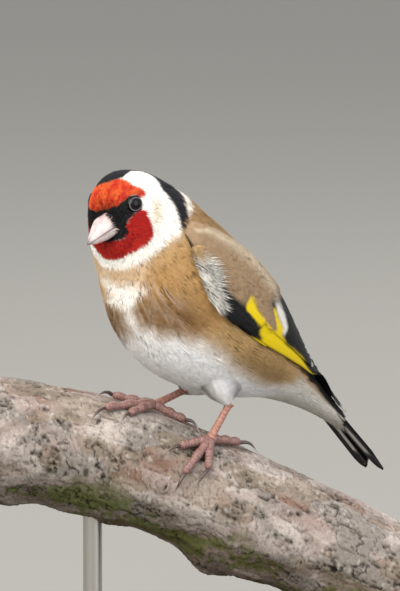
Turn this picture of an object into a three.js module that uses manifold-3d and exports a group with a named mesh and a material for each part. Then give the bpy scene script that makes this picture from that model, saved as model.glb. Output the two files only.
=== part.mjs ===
// A life-size European goldfinch perched on a cut length of branch, held up by a plain display stand.
// Millimetres, +Z up. The bird faces -Y and its left side is +X.
// The origin is the centre of the stand's underside.

import * as THREE from "three";
import { mergeVertices } from "three/addons/utils/BufferGeometryUtils.js";
import Module from "manifold-3d";

const wasm = await Module();
wasm.setup();

// Driving sizes of the bird, in the bird's own frame before it is lifted onto the stand
const GAP = 0.3; // left between neighbouring pieces
const VIEW_TURN = 52; // degrees from the bird's facing to the perch's broad side
const STAND_LIFT = 108; // from the bird frame's origin down to the floor

const HEAD = {
  eyeLevel: [0, -29, 27], // midway between the eyes
  pitch: 24, // degrees, bill down
  yaw: 14.5, // degrees, turned to the bird's left
  turnPivot: [0, -24.5, 0],
};
const BILL = {
  tip: [14.6, -4.5],
  culmenBase: [4.4, -0.9],
  chin: [7.9, -7.0],
  gape: [4.6, -6.3],
  mouthBend: [6.6, -4.6],
  root: 2.6,
  halfWidth: 4.1,
};
const EYE = {
  place: [0.5, 7.6, 0.3], out: [0.3, 0.9, 0.3], radius: 2.35, sunk: 1.55, lidRadius: 1.72, lidWire: 0.34,
};

// Mid-plane outline of the feathered body: the back line, the breast line and the half width between them
const STATIONS = [
  { name: "bill base", back: [-32.9, 24.2], breast: [-32.7, 18.0], half: 3.5 },
  { name: "lores", back: [-33.5, 28.8], breast: [-31.6, 14.8], half: 5.7 },
  { name: "eyes", back: [-31.0, 32.6], breast: [-30.4, 11.8], half: 7.5 },
  { name: "cheeks", back: [-25.0, 34.9], breast: [-29.2, 7.6], half: 9.6 },
  { name: "rear crown", back: [-16.5, 33.2], breast: [-28.3, 2.6], half: 11.0 },
  { name: "nape", back: [-7.8, 28.2], breast: [-27.2, -2.6], half: 13.0 },
  { name: "mantle", back: [-0.6, 22.4], breast: [-24.2, -8.8], half: 15.4 },
  { name: "shoulders", back: [6.8, 16.0], breast: [-18.6, -15.6], half: 17.0 },
  { name: "breast", back: [13.4, 8.8], breast: [-11.0, -21.0], half: 17.4 },
  { name: "belly", back: [19.0, 1.0], breast: [-2.0, -24.9], half: 16.6 },
  { name: "flanks", back: [23.6, -6.8], breast: [8.0, -27.3], half: 14.6 },
  { name: "vent", back: [28.2, -14.0], breast: [18.6, -28.4], half: 11.4 },
  { name: "rump", back: [33.2, -20.8], breast: [28.0, -30.8], half: 8.2 },
  { name: "tail root", back: [38.6, -26.8], breast: [36.4, -34.0], half: 5.6 },
  { name: "tail coverts", back: [45.2, -33.6], breast: [45.0, -38.4], half: 4.4 },
];
const BODY_RINGS = 34;
const BODY_SIDES = 28;
// Shares of the body's length where it is cut through
const PARTINGS = { head: 0.345, neck: 0.455, tail: 0.86 };

// Lower and upper edges of the folded left wing, from the shoulder to the wing tip
const WING = {
  lower: [
    [12.4, -14.2, 18],
    [14.8, -12.0, 11],
    [17.0, -6.4, -1.4],
    [17.2, 4, -9.6],
    [14.3, 16.8, -16.8],
    [9.4, 29.5, -23.6],
    [3.6, 46.6, -35.0],
  ],
  upper: [
    [11.2, -11.4, 21],
    [11.6, -4.6, 18.0],
    [11.1, 5.5, 11.6],
    [10.2, 14, 3.0],
    [7.4, 22.5, -6.2],
    [4.2, 31.5, -15.2],
    [2.0, 45.6, -33.4],
  ],
  bulge: 0.4,
  armEnd: 0.44,
  cutClear: 0.85, // the coarse cutter's own margin, so that the real body stays clear by the gap
  thick: 1.7,
};
// Feather tiers of the wing: where each row roots and ends along and across the wing, and its layer height
const WING_TIERS = [
  { count: 6, root: [0.36, 0.1], rootTo: [0.34, 0.36],
    tip: [1.0, 0.25], tipTo: [0.78, 0.4], half: 1.9, lift: [0.0, 0.5] },
  { count: 4, root: [0.3, 0.36], rootTo: [0.28, 0.58],
    tip: [0.82, 0.42], tipTo: [0.74, 0.62], half: 2.4, lift: [0.6, 0.9] },
  { count: 3, root: [0.3, 0.6], rootTo: [0.28, 0.78],
    tip: [0.78, 0.66], tipTo: [0.68, 0.76], half: 2.7, lift: [1.0, 1.3] },
  { count: 5, root: [0.24, 0.16], rootTo: [0.22, 0.8],
    tip: [0.5, 0.16], tipTo: [0.47, 0.8], half: 2.7, lift: [0.9, 1.4] },
  { count: 4, root: [0.12, 0.22], rootTo: [0.1, 0.74],
    tip: [0.36, 0.18], tipTo: [0.34, 0.78], half: 3.0, lift: [1.4, 1.7] },
  { count: 3, root: [0.14, 0.66], rootTo: [0.12, 0.8],
    tip: [0.58, 0.6], tipTo: [0.5, 0.8], half: 2.8, lift: [1.7, 1.9] },
];
const VANE_THICK = 0.6;

const TAIL = {
  root: [0, 28.0, -17.3],
  pitch: 46.2,
  length: 42.6,
  fork: 2.8,
  pairs: 6,
  spread: 0.5,
  first: 0.7,
  half: 2.0,
  layer: 0.3,
  coverts: {
    upper: { root: 10, reach: 26, half: 2.4, height: 1.6, across: 2.2 },
    under: { root: 10, reach: 30, half: 2.4, height: -5.6, across: 2.0 },
  },
};

const PERCH = {
  from: -60.5,
  to: 57.5,
  behind: 2.2,
  bendFrom: -60,
  bendTo: 15,
  leftHeight: -37.4,
  leftSlope: -0.1,
  rightSlope: -0.47,
  radius: 15.6,
  taper: 0.014,
  rings: 25,
  sides: 20,
};

// Each foot: where its hub stands on the perch (mm along it, degrees round from the top), its ankle, and its
// toes as [end along, end round, claw tip along, claw tip round]
const LEGS = {
  left: {
    hub: [-3.2, 31],
    ankle: [8.2, 3.4, -27.6],
    knee: [9.5, -3.5, -19],
    cuff: 0.05,
    toes: {
      inner: [-9.2, 49, -12.4, 62],
      middle: [-6.0, 72, -6.6, 95],
      outer: [-1.2, 60, -2.6, 82],
      hind: [3.6, 9, 8.6, 3],
    },
  },
  right: {
    hub: [-17.4, 7],
    ankle: [-7.8, 2.6, -25.4],
    knee: [-7.2, 7.5, -20],
    cuff: 0.2,
    toes: {
      inner: [-22.4, 32, -24.0, 46],
      middle: [-28.2, 33, -31.4, 55],
      outer: [-27.0, 5, -31.2, 19],
      hind: [-9.6, 10, -5.4, 21],
    },
  },
};
const LEG = {
  tarsusRadius: 0.82, hubRadius: 1.5, hubHalf: 0.9, hubRadii: [1.35, 1.2], toeRadius: 0.88, clawRadius: 0.5, thighRadius: 3.4,
};

const STAND = { baseRadius: 47, baseHeight: 9, edge: 1.4, rodRadius: 2.5, rodsAlong: [-28, 26] };

const X = new THREE.Vector3(1, 0, 0);
const Z = new THREE.Vector3(0, 0, 1);
const radians = THREE.MathUtils.degToRad;
const at = (a) => new THREE.Vector3(...a);
const smooth = (t) => THREE.MathUtils.smoothstep(t, 0, 1);
const mix = THREE.MathUtils.lerp;

// A closed mesh becomes a solid
function solidOf(geometry) {
  const bare = geometry.clone();
  bare.deleteAttribute("normal");
  bare.deleteAttribute("uv");
  const merged = mergeVertices(bare, 1e-3);
  return new wasm.Manifold(
    new wasm.Mesh({
      numProp: 3,
      vertProperties: merged.attributes.position.array,
      triVerts: new Uint32Array(merged.index.array),
    }),
  );
}

// Only the largest closed surface of a solid, with the hollows that touch its outside filled as well
function largest(solid) {
  const biggest = (pieces) => pieces.reduce((a, b) => (a.volume() > b.volume() ? a : b));
  return biggest(solidOf(geometryOf(biggest(solid.decompose()))).decompose());
}

function join(solids) {
  return wasm.Manifold.union(solids);
}

function geometryOf(solid) {
  const mesh = solid.getMesh();
  const geometry = new THREE.BufferGeometry();
  geometry.setAttribute("position", new THREE.BufferAttribute(mesh.vertProperties, 3));
  geometry.setIndex(new THREE.BufferAttribute(mesh.triVerts, 1));
  geometry.computeVertexNormals();
  return geometry;
}

// A closed skin over rings of equal point counts, each end drawn to its middle
function loft(rings) {
  const sides = rings[0].length;
  const points = rings.flat();
  const middle = (ring) => ring.reduce((sum, p) => sum.add(p), new THREE.Vector3()).divideScalar(sides);
  points.push(middle(rings[0]), middle(rings[rings.length - 1]));
  const first = points.length - 2;
  const faces = [];
  for (let i = 0; i + 1 < rings.length; i++) {
    for (let j = 0; j < sides; j++) {
      const a = i * sides + j;
      const b = i * sides + ((j + 1) % sides);
      faces.push(a, b, b + sides, a, b + sides, a + sides);
    }
  }
  const last = (rings.length - 1) * sides;
  for (let j = 0; j < sides; j++) {
    faces.push(first, (j + 1) % sides, j);
    faces.push(first + 1, last + j, last + ((j + 1) % sides));
  }
  const geometry = new THREE.BufferGeometry();
  geometry.setAttribute("position", new THREE.Float32BufferAttribute(points.flatMap((p) => p.toArray()), 3));
  geometry.setIndex(faces);
  const solid = solidOf(geometry);
  return solid.volume() > 0 ? solid : loft(rings.map((ring) => [...ring].reverse()));
}

// A round bar along a path, with a radius at each point
function bar(path, radii, sides) {
  const rings = path.map((p, i) => {
    const ahead = path[Math.min(i + 1, path.length - 1)];
    const behind = path[Math.max(i - 1, 0)];
    const along = ahead.clone().sub(behind).normalize();
    const across = Math.abs(along.x) > 0.9 ? new THREE.Vector3(0, 1, 0) : X;
    const u = along.clone().cross(across).normalize();
    const v = along.clone().cross(u);
    return Array.from({ length: sides }, (_, k) => {
      const angle = (2 * Math.PI * k) / sides;
      return p
        .clone()
        .addScaledVector(u, radii[i] * Math.cos(angle))
        .addScaledVector(v, radii[i] * Math.sin(angle));
    });
  });
  return loft(rings);
}

// A feather vane: sharp edges, a raised middle and a pointed end, over stations with place, side and up
function vane(stations, halves, thick) {
  const points = [];
  const body = stations.slice(0, -1);
  body.forEach(({ place, side, up }, i) => {
    points.push(place.clone().addScaledVector(side, -halves[i]).addScaledVector(up, -thick * 0.3));
    points.push(place.clone().addScaledVector(up, thick / 2));
    points.push(place.clone().addScaledVector(side, halves[i]).addScaledVector(up, -thick * 0.3));
    points.push(place.clone().addScaledVector(up, -thick / 2));
  });
  points.push(stations[stations.length - 1].place);
  const tip = points.length - 1;
  const faces = [0, 1, 2, 0, 2, 3];
  for (let i = 0; i + 1 < body.length; i++) {
    const a = 4 * i;
    const b = a + 4;
    faces.push(a, b, b + 1, a, b + 1, a + 1);
    faces.push(a + 1, b + 1, b + 2, a + 1, b + 2, a + 2);
    faces.push(a, b + 3, b, a, a + 3, b + 3);
    faces.push(a + 3, b + 2, b + 3, a + 3, a + 2, b + 2);
  }
  const end = 4 * (body.length - 1);
  faces.push(end, tip, end + 1, end + 1, tip, end + 2, end + 2, tip, end + 3, end + 3, tip, end);
  const geometry = new THREE.BufferGeometry();
  geometry.setAttribute("position", new THREE.Float32BufferAttribute(points.flatMap((p) => p.toArray()), 3));
  geometry.setIndex(faces);
  const solid = solidOf(geometry);
  if (solid.volume() > 0) return solid;
  for (let i = 0; i < faces.length; i += 3) [faces[i + 1], faces[i + 2]] = [faces[i + 2], faces[i + 1]];
  geometry.setIndex(faces);
  return solidOf(geometry);
}

// The body's surface

const backLine = new THREE.CatmullRomCurve3(
  STATIONS.map((s) => new THREE.Vector3(0, ...s.back)),
  false,
  "catmullrom",
);
const breastLine = new THREE.CatmullRomCurve3(
  STATIONS.map((s) => new THREE.Vector3(s.half, ...s.breast)),
  false,
  "catmullrom",
);

// Turns a point of the straight bird with its head, fully at the bill and not at all behind the nape
function turned(point, share) {
  const pivot = at(HEAD.turnPivot);
  return point
    .clone()
    .sub(pivot)
    .applyAxisAngle(Z, radians(HEAD.yaw) * share)
    .add(pivot);
}

function headShare(u) {
  return 1 - smooth((u - 0.16) / 0.24);
}

// One point of the body: u runs from the bill to the tail, angle runs round from the left side over the back
function bodyPoint(u, angle) {
  const back = backLine.getPoint(u);
  const low = breastLine.getPoint(u);
  const half = low.x;
  low.x = 0;
  const centre = back.clone().add(low).multiplyScalar(0.5);
  const up = back.clone().sub(low).multiplyScalar(0.5);
  const c = Math.cos(angle);
  const s = Math.sin(angle);
  const fuller = 0.9;
  const point = centre
    .addScaledVector(X, half * Math.sign(c) * Math.abs(c) ** fuller)
    .addScaledVector(up, Math.sign(s) * Math.abs(s) ** fuller);
  return turned(point, headShare(u));
}

function bodyNormal(u, angle) {
  const step = 1e-3;
  const along = bodyPoint(Math.min(u + step, 1), angle).sub(bodyPoint(Math.max(u - step, 0), angle));
  const round = bodyPoint(u, angle + step).sub(bodyPoint(u, angle - step));
  return along.cross(round).normalize();
}

function bodyLoft(grow, count = BODY_RINGS, sides = BODY_SIDES) {
  const rings = [];
  for (let i = 0; i < count; i++) {
    const u = i / (count - 1);
    rings.push(
      Array.from({ length: sides }, (_, j) => {
        const angle = (2 * Math.PI * j) / sides;
        return bodyPoint(u, angle).addScaledVector(bodyNormal(u, angle), grow);
      }),
    );
  }
  return loft(rings);
}

// The plane of one section of the body, its normal pointing to the tail
function sectionPlane(u) {
  const share = headShare(u);
  const back = turned(backLine.getPoint(u), share);
  const low = breastLine.getPoint(u);
  low.x = 0;
  const chord = back.clone().sub(turned(low, share));
  const side = turned(X.clone().add(at(HEAD.turnPivot)), share).sub(at(HEAD.turnPivot));
  const normal = side.cross(chord).normalize();
  if (normal.y < 0) normal.negate();
  return { normal: normal.toArray(), offset: normal.dot(back) };
}

// Samples of the body's surface, for laying feathers over it
const bodySamples = [];
for (let i = 12; i < 90; i++) {
  for (let j = 0; j < 64; j++) {
    const u = i / 90;
    const angle = (2 * Math.PI * j) / 64;
    bodySamples.push({ place: bodyPoint(u, angle), normal: bodyNormal(u, angle) });
  }
}

const tailAlong = new THREE.Vector3(0, Math.cos(radians(TAIL.pitch)), -Math.sin(radians(TAIL.pitch)));
const tailUp = new THREE.Vector3(0, Math.sin(radians(TAIL.pitch)), Math.cos(radians(TAIL.pitch)));

// Lifts a point clear of the body and of the tail's upper side
function settled(point, clear) {
  let near = bodySamples[0];
  let least = Infinity;
  for (const sample of bodySamples) {
    const distance = sample.place.distanceToSquared(point);
    if (distance < least) {
      least = distance;
      near = sample;
    }
  }
  const out = point.clone();
  const height = out.clone().sub(near.place).dot(near.normal);
  if (height < clear && least < 150) out.addScaledVector(near.normal, clear - height);
  const overTail = out.clone().sub(at(TAIL.root));
  if (overTail.dot(tailAlong) > 6) {
    const above = overTail.dot(tailUp);
    const wanted = clear + 0.75;
    if (above < wanted) out.addScaledVector(tailUp, wanted - above);
  }
  return out;
}

// The head

const headForward = new THREE.Vector3(0, -Math.cos(radians(HEAD.pitch)), -Math.sin(radians(HEAD.pitch)));
const headUp = new THREE.Vector3(0, -Math.sin(radians(HEAD.pitch)), Math.cos(radians(HEAD.pitch)));

function headPoint(forward, side, up) {
  const point = at(HEAD.eyeLevel)
    .addScaledVector(headForward, forward)
    .addScaledVector(X, side)
    .addScaledVector(headUp, up);
  return turned(point, 1);
}

function mouthLine(forward) {
  const [gape, bend, tip] = [BILL.gape, BILL.mouthBend, BILL.tip];
  if (forward < bend[0]) return mix(gape[1], bend[1], smooth((forward - gape[0]) / (bend[0] - gape[0])));
  return mix(bend[1], tip[1], (forward - bend[0]) / (tip[0] - bend[0]));
}

// Half of the bill, above the mouth line or under it, over its length
function billHalf(upper, grow) {
  const [tipForward, tipUp] = BILL.tip;
  const base = upper ? BILL.culmenBase : BILL.chin;
  const rings = [];
  const steps = 8;
  const arcs = 8;
  for (let i = 0; i <= steps; i++) {
    const forward = mix(BILL.root - grow, tipForward - 0.1 + grow, i / steps);
    const along = THREE.MathUtils.clamp((forward - base[0]) / (tipForward - base[0]), 0, 1);
    const curve = upper ? 0.55 * Math.sin(Math.PI * along) : -0.28 * Math.sin(Math.PI * along);
    const edge = mix(base[1], tipUp, along) + curve + (upper ? grow : -grow);
    const taper = THREE.MathUtils.clamp((tipForward - forward) / (tipForward - BILL.gape[0]), 0.02, 1);
    const half = (BILL.halfWidth - (upper ? 0 : 0.25)) * taper ** 0.86 + grow + 0.06;
    const mouth = mouthLine(forward) + (upper ? GAP / 2 : -GAP / 2) * (grow > 0 ? -1 : 1);
    const height = edge - mouth;
    const ring = [];
    for (let j = 0; j <= arcs; j++) {
      const angle = (Math.PI * j) / arcs;
      const flat = Math.sin(angle) ** 0.8;
      ring.push(headPoint(forward, half * Math.cos(angle), mouth + height * flat));
    }
    rings.push(ring);
  }
  return loft(rings);
}

function nostril(side) {
  const pit = new THREE.SphereGeometry(0.42, 10, 8).scale(1.4, 1, 1);
  const place = headPoint(BILL.culmenBase[0] + 1.35, side * 2.35, -2.1);
  return solidOf(pit.translate(place.x, place.y, place.z));
}

// The middle of an eye's opening, and the way that it looks
function eyeSeat(side) {
  const [forward, out, up] = EYE.place;
  const place = headPoint(forward, side * out, up);
  const look = headPoint(forward + EYE.out[0], side * (out + EYE.out[1]), up + EYE.out[2]).sub(place);
  return { place, look: look.normalize() };
}

function eyeball(side, radius) {
  const { place, look } = eyeSeat(side);
  const centre = place.addScaledVector(look, -EYE.sunk);
  return solidOf(new THREE.SphereGeometry(radius, 16, 10).translate(centre.x, centre.y, centre.z));
}

// The rim of bare lid round an eye
function eyelid(side) {
  const { place, look } = eyeSeat(side);
  const ring = new THREE.TorusGeometry(EYE.lidRadius, EYE.lidWire, 6, 18);
  ring.applyQuaternion(new THREE.Quaternion().setFromUnitVectors(Z, look));
  return solidOf(ring.translate(place.x, place.y, place.z));
}

function buildHead(whole) {
  const cut = sectionPlane(PARTINGS.head);
  let head = whole.trimByPlane(cut.normal.map((n) => -n), -cut.offset + GAP / 2);
  head = join([head, eyelid(1), eyelid(-1)]);
  head = head.subtract(join([billHalf(true, GAP), billHalf(false, GAP)]));
  return largest(head.subtract(join([eyeball(1, EYE.radius + GAP), eyeball(-1, EYE.radius + GAP)])));
}

// The wings

const wingLower = new THREE.CatmullRomCurve3(WING.lower.map(at), false, "catmullrom");
const wingUpper = new THREE.CatmullRomCurve3(WING.upper.map(at), false, "catmullrom");

// A point of the left wing's sheet before it is laid on the body
function wingSheet(s, t) {
  const low = wingLower.getPoint(THREE.MathUtils.clamp(s, 0, 1));
  const high = wingUpper.getPoint(THREE.MathUtils.clamp(s, 0, 1));
  const point = low.clone().lerp(high, t);
  const along = wingLower.getTangent(THREE.MathUtils.clamp(s, 0, 1));
  const out = high.clone().sub(low).cross(along).normalize();
  if (out.x < 0) out.negate();
  return { place: point.addScaledVector(out, WING.bulge * (1 - s) * 4 * t * (1 - t)), out };
}

function wingPoint(s, t, height) {
  const { place, out } = wingSheet(s, t);
  return settled(place.addScaledVector(out, height), GAP + 0.45 + height);
}

// One feather of the left wing, from its root to its tip across the wing's sheet
function wingFeather(root, tip, half, rootLift, tipLift) {
  const shares = [0, 0.5, 0.87, 1];
  const widths = [0.7, 1, 0.8, 0];
  const stations = shares.map((a) => {
    const s = mix(root[0], tip[0], a);
    const t = mix(root[1], tip[1], a);
    const lift = mix(rootLift, tipLift, a) * (1 - 0.5 * t);
    const place = wingPoint(s, t, lift);
    const ahead = wingPoint(s + 0.02 * (tip[0] - root[0]), t + 0.02 * (tip[1] - root[1]), lift);
    const along = (a > 0.99 ? place.clone().sub(wingPoint(s - 0.02, t, lift)) : ahead.sub(place)).normalize();
    const up = wingSheet(s, t).out;
    const side = up.clone().cross(along).normalize();
    return { place, side, up };
  });
  return vane(stations, widths.map((w) => w * half), VANE_THICK);
}

function wingFeathers() {
  return WING_TIERS.flatMap((tier) =>
    Array.from({ length: tier.count }, (_, i) => {
      const share = i / (tier.count - 1);
      const root = [mix(tier.root[0], tier.rootTo[0], share), mix(tier.root[1], tier.rootTo[1], share)];
      const tip = [mix(tier.tip[0], tier.tipTo[0], share ** 1.15), mix(tier.tip[1], tier.tipTo[1], share)];
      const lift = mix(tier.lift[0], tier.lift[1], share);
      return wingFeather(root, tip, tier.half, lift, lift * 0.8);
    }),
  );
}

// The fleshy fore part of the wing, from which its feathers grow
function wingArm() {
  const rows = 9;
  const columns = 8;
  const rings = [];
  for (let i = 0; i <= rows; i++) {
    const s = mix(0, WING.armEnd, i / rows);
    const top = [];
    const under = [];
    for (let j = 0; j <= columns; j++) {
      const t = j / columns;
      const crown = WING.thick * Math.sin(Math.PI * mix(0.05, 0.95, t)) ** 0.5;
      const swell = Math.sin(Math.PI * mix(0.16, 0.84, i / rows)) ** 0.5;
      top.push(wingPoint(s, t, crown * swell));
      under.push(wingPoint(s, t, 0));
    }
    rings.push([...top, ...under.reverse()]);
  }
  return loft(rings);
}

function buildWing() {
  const wing = join([wingArm(), ...wingFeathers()]);
  const clear = wing.subtract(bodyLoft(WING.cutClear, 16, 16));
  return largest(clear.trimByPlane([1, 0, 0], GAP / 2 + 0.05));
}

// The tail

function tailPoint(along, side, height) {
  return at(TAIL.root)
    .addScaledVector(tailAlong, along)
    .addScaledVector(X, side)
    .addScaledVector(tailUp, height);
}

function tailFeather(side, pair) {
  const shares = [0.2, 0.6, 0.93, 1];
  const widths = [0.6, 1, 0.9, 0];
  const length = TAIL.length + TAIL.fork * (pair / (TAIL.pairs - 1)) ** 1.3;
  const rootSide = side * (0.5 + 0.25 * pair);
  const tipSide = side * (TAIL.first + TAIL.spread * pair);
  const height = -TAIL.layer * pair;
  const stations = shares.map((a) => ({
    place: tailPoint(length * a, mix(rootSide, tipSide + 0.35 * side, a ** 1.2), height),
    side: X,
    up: tailUp,
  }));
  return vane(stations, widths.map((w) => w * TAIL.half), VANE_THICK);
}

// One of the soft coverts that close over the tail's root, above it or under it
function tailCovert(side, under) {
  const { root, reach, half, height, across } = under ? TAIL.coverts.under : TAIL.coverts.upper;
  const shares = [0, 0.5, 0.85, 1];
  const widths = [0.8, 1, 0.7, 0];
  const stations = shares.map((a) => ({
    place: tailPoint(
      mix(root, reach - 2.2 * Math.abs(side), a),
      across * side * (1 - 0.35 * a),
      mix(height, 0, a ** 2),
    ),
    side: X,
    up: tailUp,
  }));
  return vane(stations, widths.map((w) => w * half), VANE_THICK * 1.5);
}

function buildTail(whole) {
  const cut = sectionPlane(PARTINGS.tail);
  const stump = whole.trimByPlane(cut.normal, cut.offset + GAP / 2);
  const feathers = [];
  for (const side of [-1, 0, 1]) feathers.push(tailCovert(side, true), tailCovert(side, false));
  for (let pair = 0; pair < TAIL.pairs; pair++) {
    for (const side of [1, -1]) feathers.push(tailFeather(side, pair));
  }
  const rear = join(feathers).trimByPlane(cut.normal, cut.offset + GAP / 2);
  return largest(join([stump, rear]));
}

// The perch

const alongPerch = new THREE.Vector3(Math.cos(radians(VIEW_TURN)), Math.sin(radians(VIEW_TURN)), 0);
const broadside = new THREE.Vector3(Math.sin(radians(VIEW_TURN)), -Math.cos(radians(VIEW_TURN)), 0);

function perchCentre(s) {
  const bend = PERCH.bendTo - PERCH.bendFrom;
  const t = THREE.MathUtils.clamp((s - PERCH.bendFrom) / bend, 0, 1);
  const eased = bend * (t ** 3 - t ** 4 / 2) + Math.max(0, s - PERCH.bendTo);
  const rise = PERCH.leftHeight + PERCH.leftSlope * (s - PERCH.bendFrom);
  const z = rise + (PERCH.rightSlope - PERCH.leftSlope) * eased;
  return alongPerch.clone().multiplyScalar(s).addScaledVector(broadside, -PERCH.behind).addScaledVector(Z, z);
}

function perchPoint(s, degrees, height) {
  const centre = perchCentre(s);
  const along = perchCentre(s + 0.5).sub(perchCentre(s - 0.5)).normalize();
  const up = Z.clone().addScaledVector(along, -along.z).normalize();
  const angle = radians(degrees);
  const low = Math.max(0, -Math.cos(angle));
  const lumps = 0.35 * Math.sin(0.21 * s + 2 * angle) + 0.25 * Math.sin(0.47 * s - 3 * angle + 1);
  const knot = 3.2 * Math.exp(-(((s - 9) / 7) ** 2)) * low ** 3;
  const radius = PERCH.radius - PERCH.taper * s + lumps * low ** 0.5 + knot + height;
  return centre
    .addScaledVector(up, radius * Math.cos(angle))
    .addScaledVector(broadside, radius * Math.sin(angle));
}

function perchLoft(grow) {
  const rings = [];
  for (let i = 0; i <= PERCH.rings; i++) {
    const s = mix(PERCH.from - grow, PERCH.to + grow, i / PERCH.rings);
    rings.push(
      Array.from({ length: PERCH.sides }, (_, j) => perchPoint(s, (360 * j) / PERCH.sides, grow)),
    );
  }
  return loft(rings);
}

// The legs and feet

// The way of one toe over the bark and of its claw beyond, with radii, parted where the claw begins
function toePath(leg, toe) {
  const [hubAlong, hubRound] = leg.hub;
  const [endAlong, endRound, clawAlong, clawRound] = toe;
  const toePoints = [];
  const toeRadii = [];
  const joints = 7;
  for (let i = 0; i <= joints; i++) {
    const a = i / joints;
    const knuckle = 0.12 * Math.sin(3 * Math.PI * a) ** 2;
    const radius = LEG.toeRadius * mix(1.06, 0.86, a) + knuckle;
    const height = GAP + radius * 0.92 + 0.7 * (1 - a) ** 2;
    toePoints.push(perchPoint(mix(hubAlong, endAlong, a), mix(hubRound, endRound, a), height));
    toeRadii.push(radius);
  }
  const clawPoints = [];
  const clawRadii = [];
  const curls = 6;
  for (let i = 0; i <= curls; i++) {
    const a = i / curls;
    const bow = Math.sin(Math.PI * Math.min(1, a * 1.05)) * (1 - 0.3 * a);
    const height = GAP + 0.15 + mix(0.75, 0, a) + 1.15 * bow;
    clawPoints.push(perchPoint(mix(endAlong, clawAlong, a), mix(endRound, clawRound, a), height));
    clawRadii.push(Math.max(0.12, LEG.clawRadius * (1 - a * 0.85)));
  }
  return { toePoints, toeRadii, clawPoints, clawRadii };
}

function buildFoot(leg) {
  const hub = perchPoint(leg.hub[0], leg.hub[1], GAP + LEG.hubRadius * 0.95);
  const hubEnds = [-LEG.hubHalf, LEG.hubHalf].map((z) => hub.clone().addScaledVector(Z, z));
  const pieces = [bar(hubEnds, LEG.hubRadii, 10)];
  const claws = {};
  for (const [name, toe] of Object.entries(leg.toes)) {
    const { toePoints, toeRadii, clawPoints, clawRadii } = toePath(leg, toe);
    toePoints[0] = hub;
    pieces.push(bar(toePoints, toeRadii, 8));
    const end = toePoints[toePoints.length - 1];
    const reach = end.clone().sub(toePoints[toePoints.length - 2]).normalize();
    clawPoints[0] = end.clone().addScaledVector(reach, GAP);
    claws[name] = bar(clawPoints, clawRadii, 8).trimByPlane(
      reach.toArray(),
      reach.dot(end) + GAP,
    );
  }
  return { hub, pieces, claws };
}

function buildLeg(leg, body) {
  const bark = perchLoft(GAP);
  const { hub, pieces, claws } = buildFoot(leg);
  const ankle = at(leg.ankle);
  const shin = ankle.clone().sub(hub).normalize();
  const steps = 6;
  const path = [];
  const radii = [];
  for (let i = 0; i <= steps; i++) {
    const a = i / steps;
    path.push(hub.clone().lerp(ankle, a));
    const joints = 0.35 * smooth((a - 0.85) / 0.15) + 0.3 * (1 - a) ** 6;
    radii.push(mix(LEG.tarsusRadius * 1.12, LEG.tarsusRadius, a) + joints);
  }
  const shank = bar(path, radii, 10);
  const cutHeight = shin.dot(hub) + 1.9;
  const foot = join([...pieces, shank.trimByPlane(shin.negate().toArray(), -cutHeight + GAP)]);
  shin.negate();
  const knee = at(leg.knee);
  const thighPath = [
    knee, knee.clone().lerp(ankle, 0.5), ankle.clone().lerp(knee, 0.15), ankle.clone().lerp(hub, leg.cuff),
  ];
  const thighRadii = [1, 0.94, 0.68, 0.38].map((share) => share * LEG.thighRadius);
  const thighWhole = bar(thighPath, thighRadii, 14);
  const tarsus = shank.trimByPlane(shin.toArray(), cutHeight);
  const grownTarsus = bar(path, radii.map((r) => r + GAP), 10);
  const thigh = thighWhole.subtract(bodyLoft(GAP)).subtract(grownTarsus);
  return {
    foot: largest(foot.subtract(bark)),
    tarsus: largest(tarsus.subtract(bodyLoft(GAP))),
    thigh: largest(thigh),
    claws: Object.fromEntries(
      Object.entries(claws).map(([name, claw]) => [name, largest(claw.subtract(bark))]),
    ),
  };
}

// The stand

const standCentre = alongPerch.clone().multiplyScalar(-1).addScaledVector(broadside, -PERCH.behind);

function buildBase() {
  const { baseRadius, baseHeight, edge } = STAND;
  const profile = [
    new THREE.Vector2(0, 0),
    new THREE.Vector2(baseRadius - 0.6, 0),
    new THREE.Vector2(baseRadius, 0.6),
    new THREE.Vector2(baseRadius, baseHeight - edge),
    new THREE.Vector2(baseRadius - edge * 0.3, baseHeight - edge * 0.3),
    new THREE.Vector2(baseRadius - edge, baseHeight),
    new THREE.Vector2(0, baseHeight),
  ];
  const disc = new THREE.LatheGeometry(profile, 44);
  disc.rotateX(Math.PI / 2);
  disc.translate(standCentre.x, standCentre.y, -STAND_LIFT);
  return solidOf(disc);
}

function buildRod(along) {
  const foot = perchCentre(along).setZ(-STAND_LIFT + STAND.baseHeight + GAP);
  const head = perchCentre(along);
  const steps = [foot, head];
  return bar(steps, [STAND.rodRadius, STAND.rodRadius], 20).subtract(perchLoft(GAP));
}

// Everything, placed on the stand

const looks = {
  plumage: { color: 0xb08a55, roughness: 0.85, metalness: 0 },
  face: { color: 0xb5281c, roughness: 0.8, metalness: 0 },
  flight: { color: 0x17161a, roughness: 0.6, metalness: 0 },
  bill: { color: 0xe9d6cf, roughness: 0.35, metalness: 0 },
  eye: { color: 0x0b0a0d, roughness: 0.05, metalness: 0 },
  leg: { color: 0xb56c5c, roughness: 0.6, metalness: 0 },
  claw: { color: 0x3a2a26, roughness: 0.4, metalness: 0 },
  bark: { color: 0xa99c90, roughness: 0.9, metalness: 0 },
  wood: { color: 0x6b4a31, roughness: 0.5, metalness: 0 },
  rod: { color: 0x8f8a80, roughness: 0.35, metalness: 1 },
};
const materials = Object.fromEntries(
  Object.entries(looks).map(([name, look]) => [name, new THREE.MeshStandardMaterial(look)]),
);

const group = new THREE.Group();
const lift = [-standCentre.x, -standCentre.y, STAND_LIFT];

function add(name, solid, look) {
  const mesh = new THREE.Mesh(geometryOf(largest(solid.translate(lift))), materials[look]);
  mesh.name = name;
  group.add(mesh);
}

function mirrored(solid) {
  return solid.mirror([1, 0, 0]);
}

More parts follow.
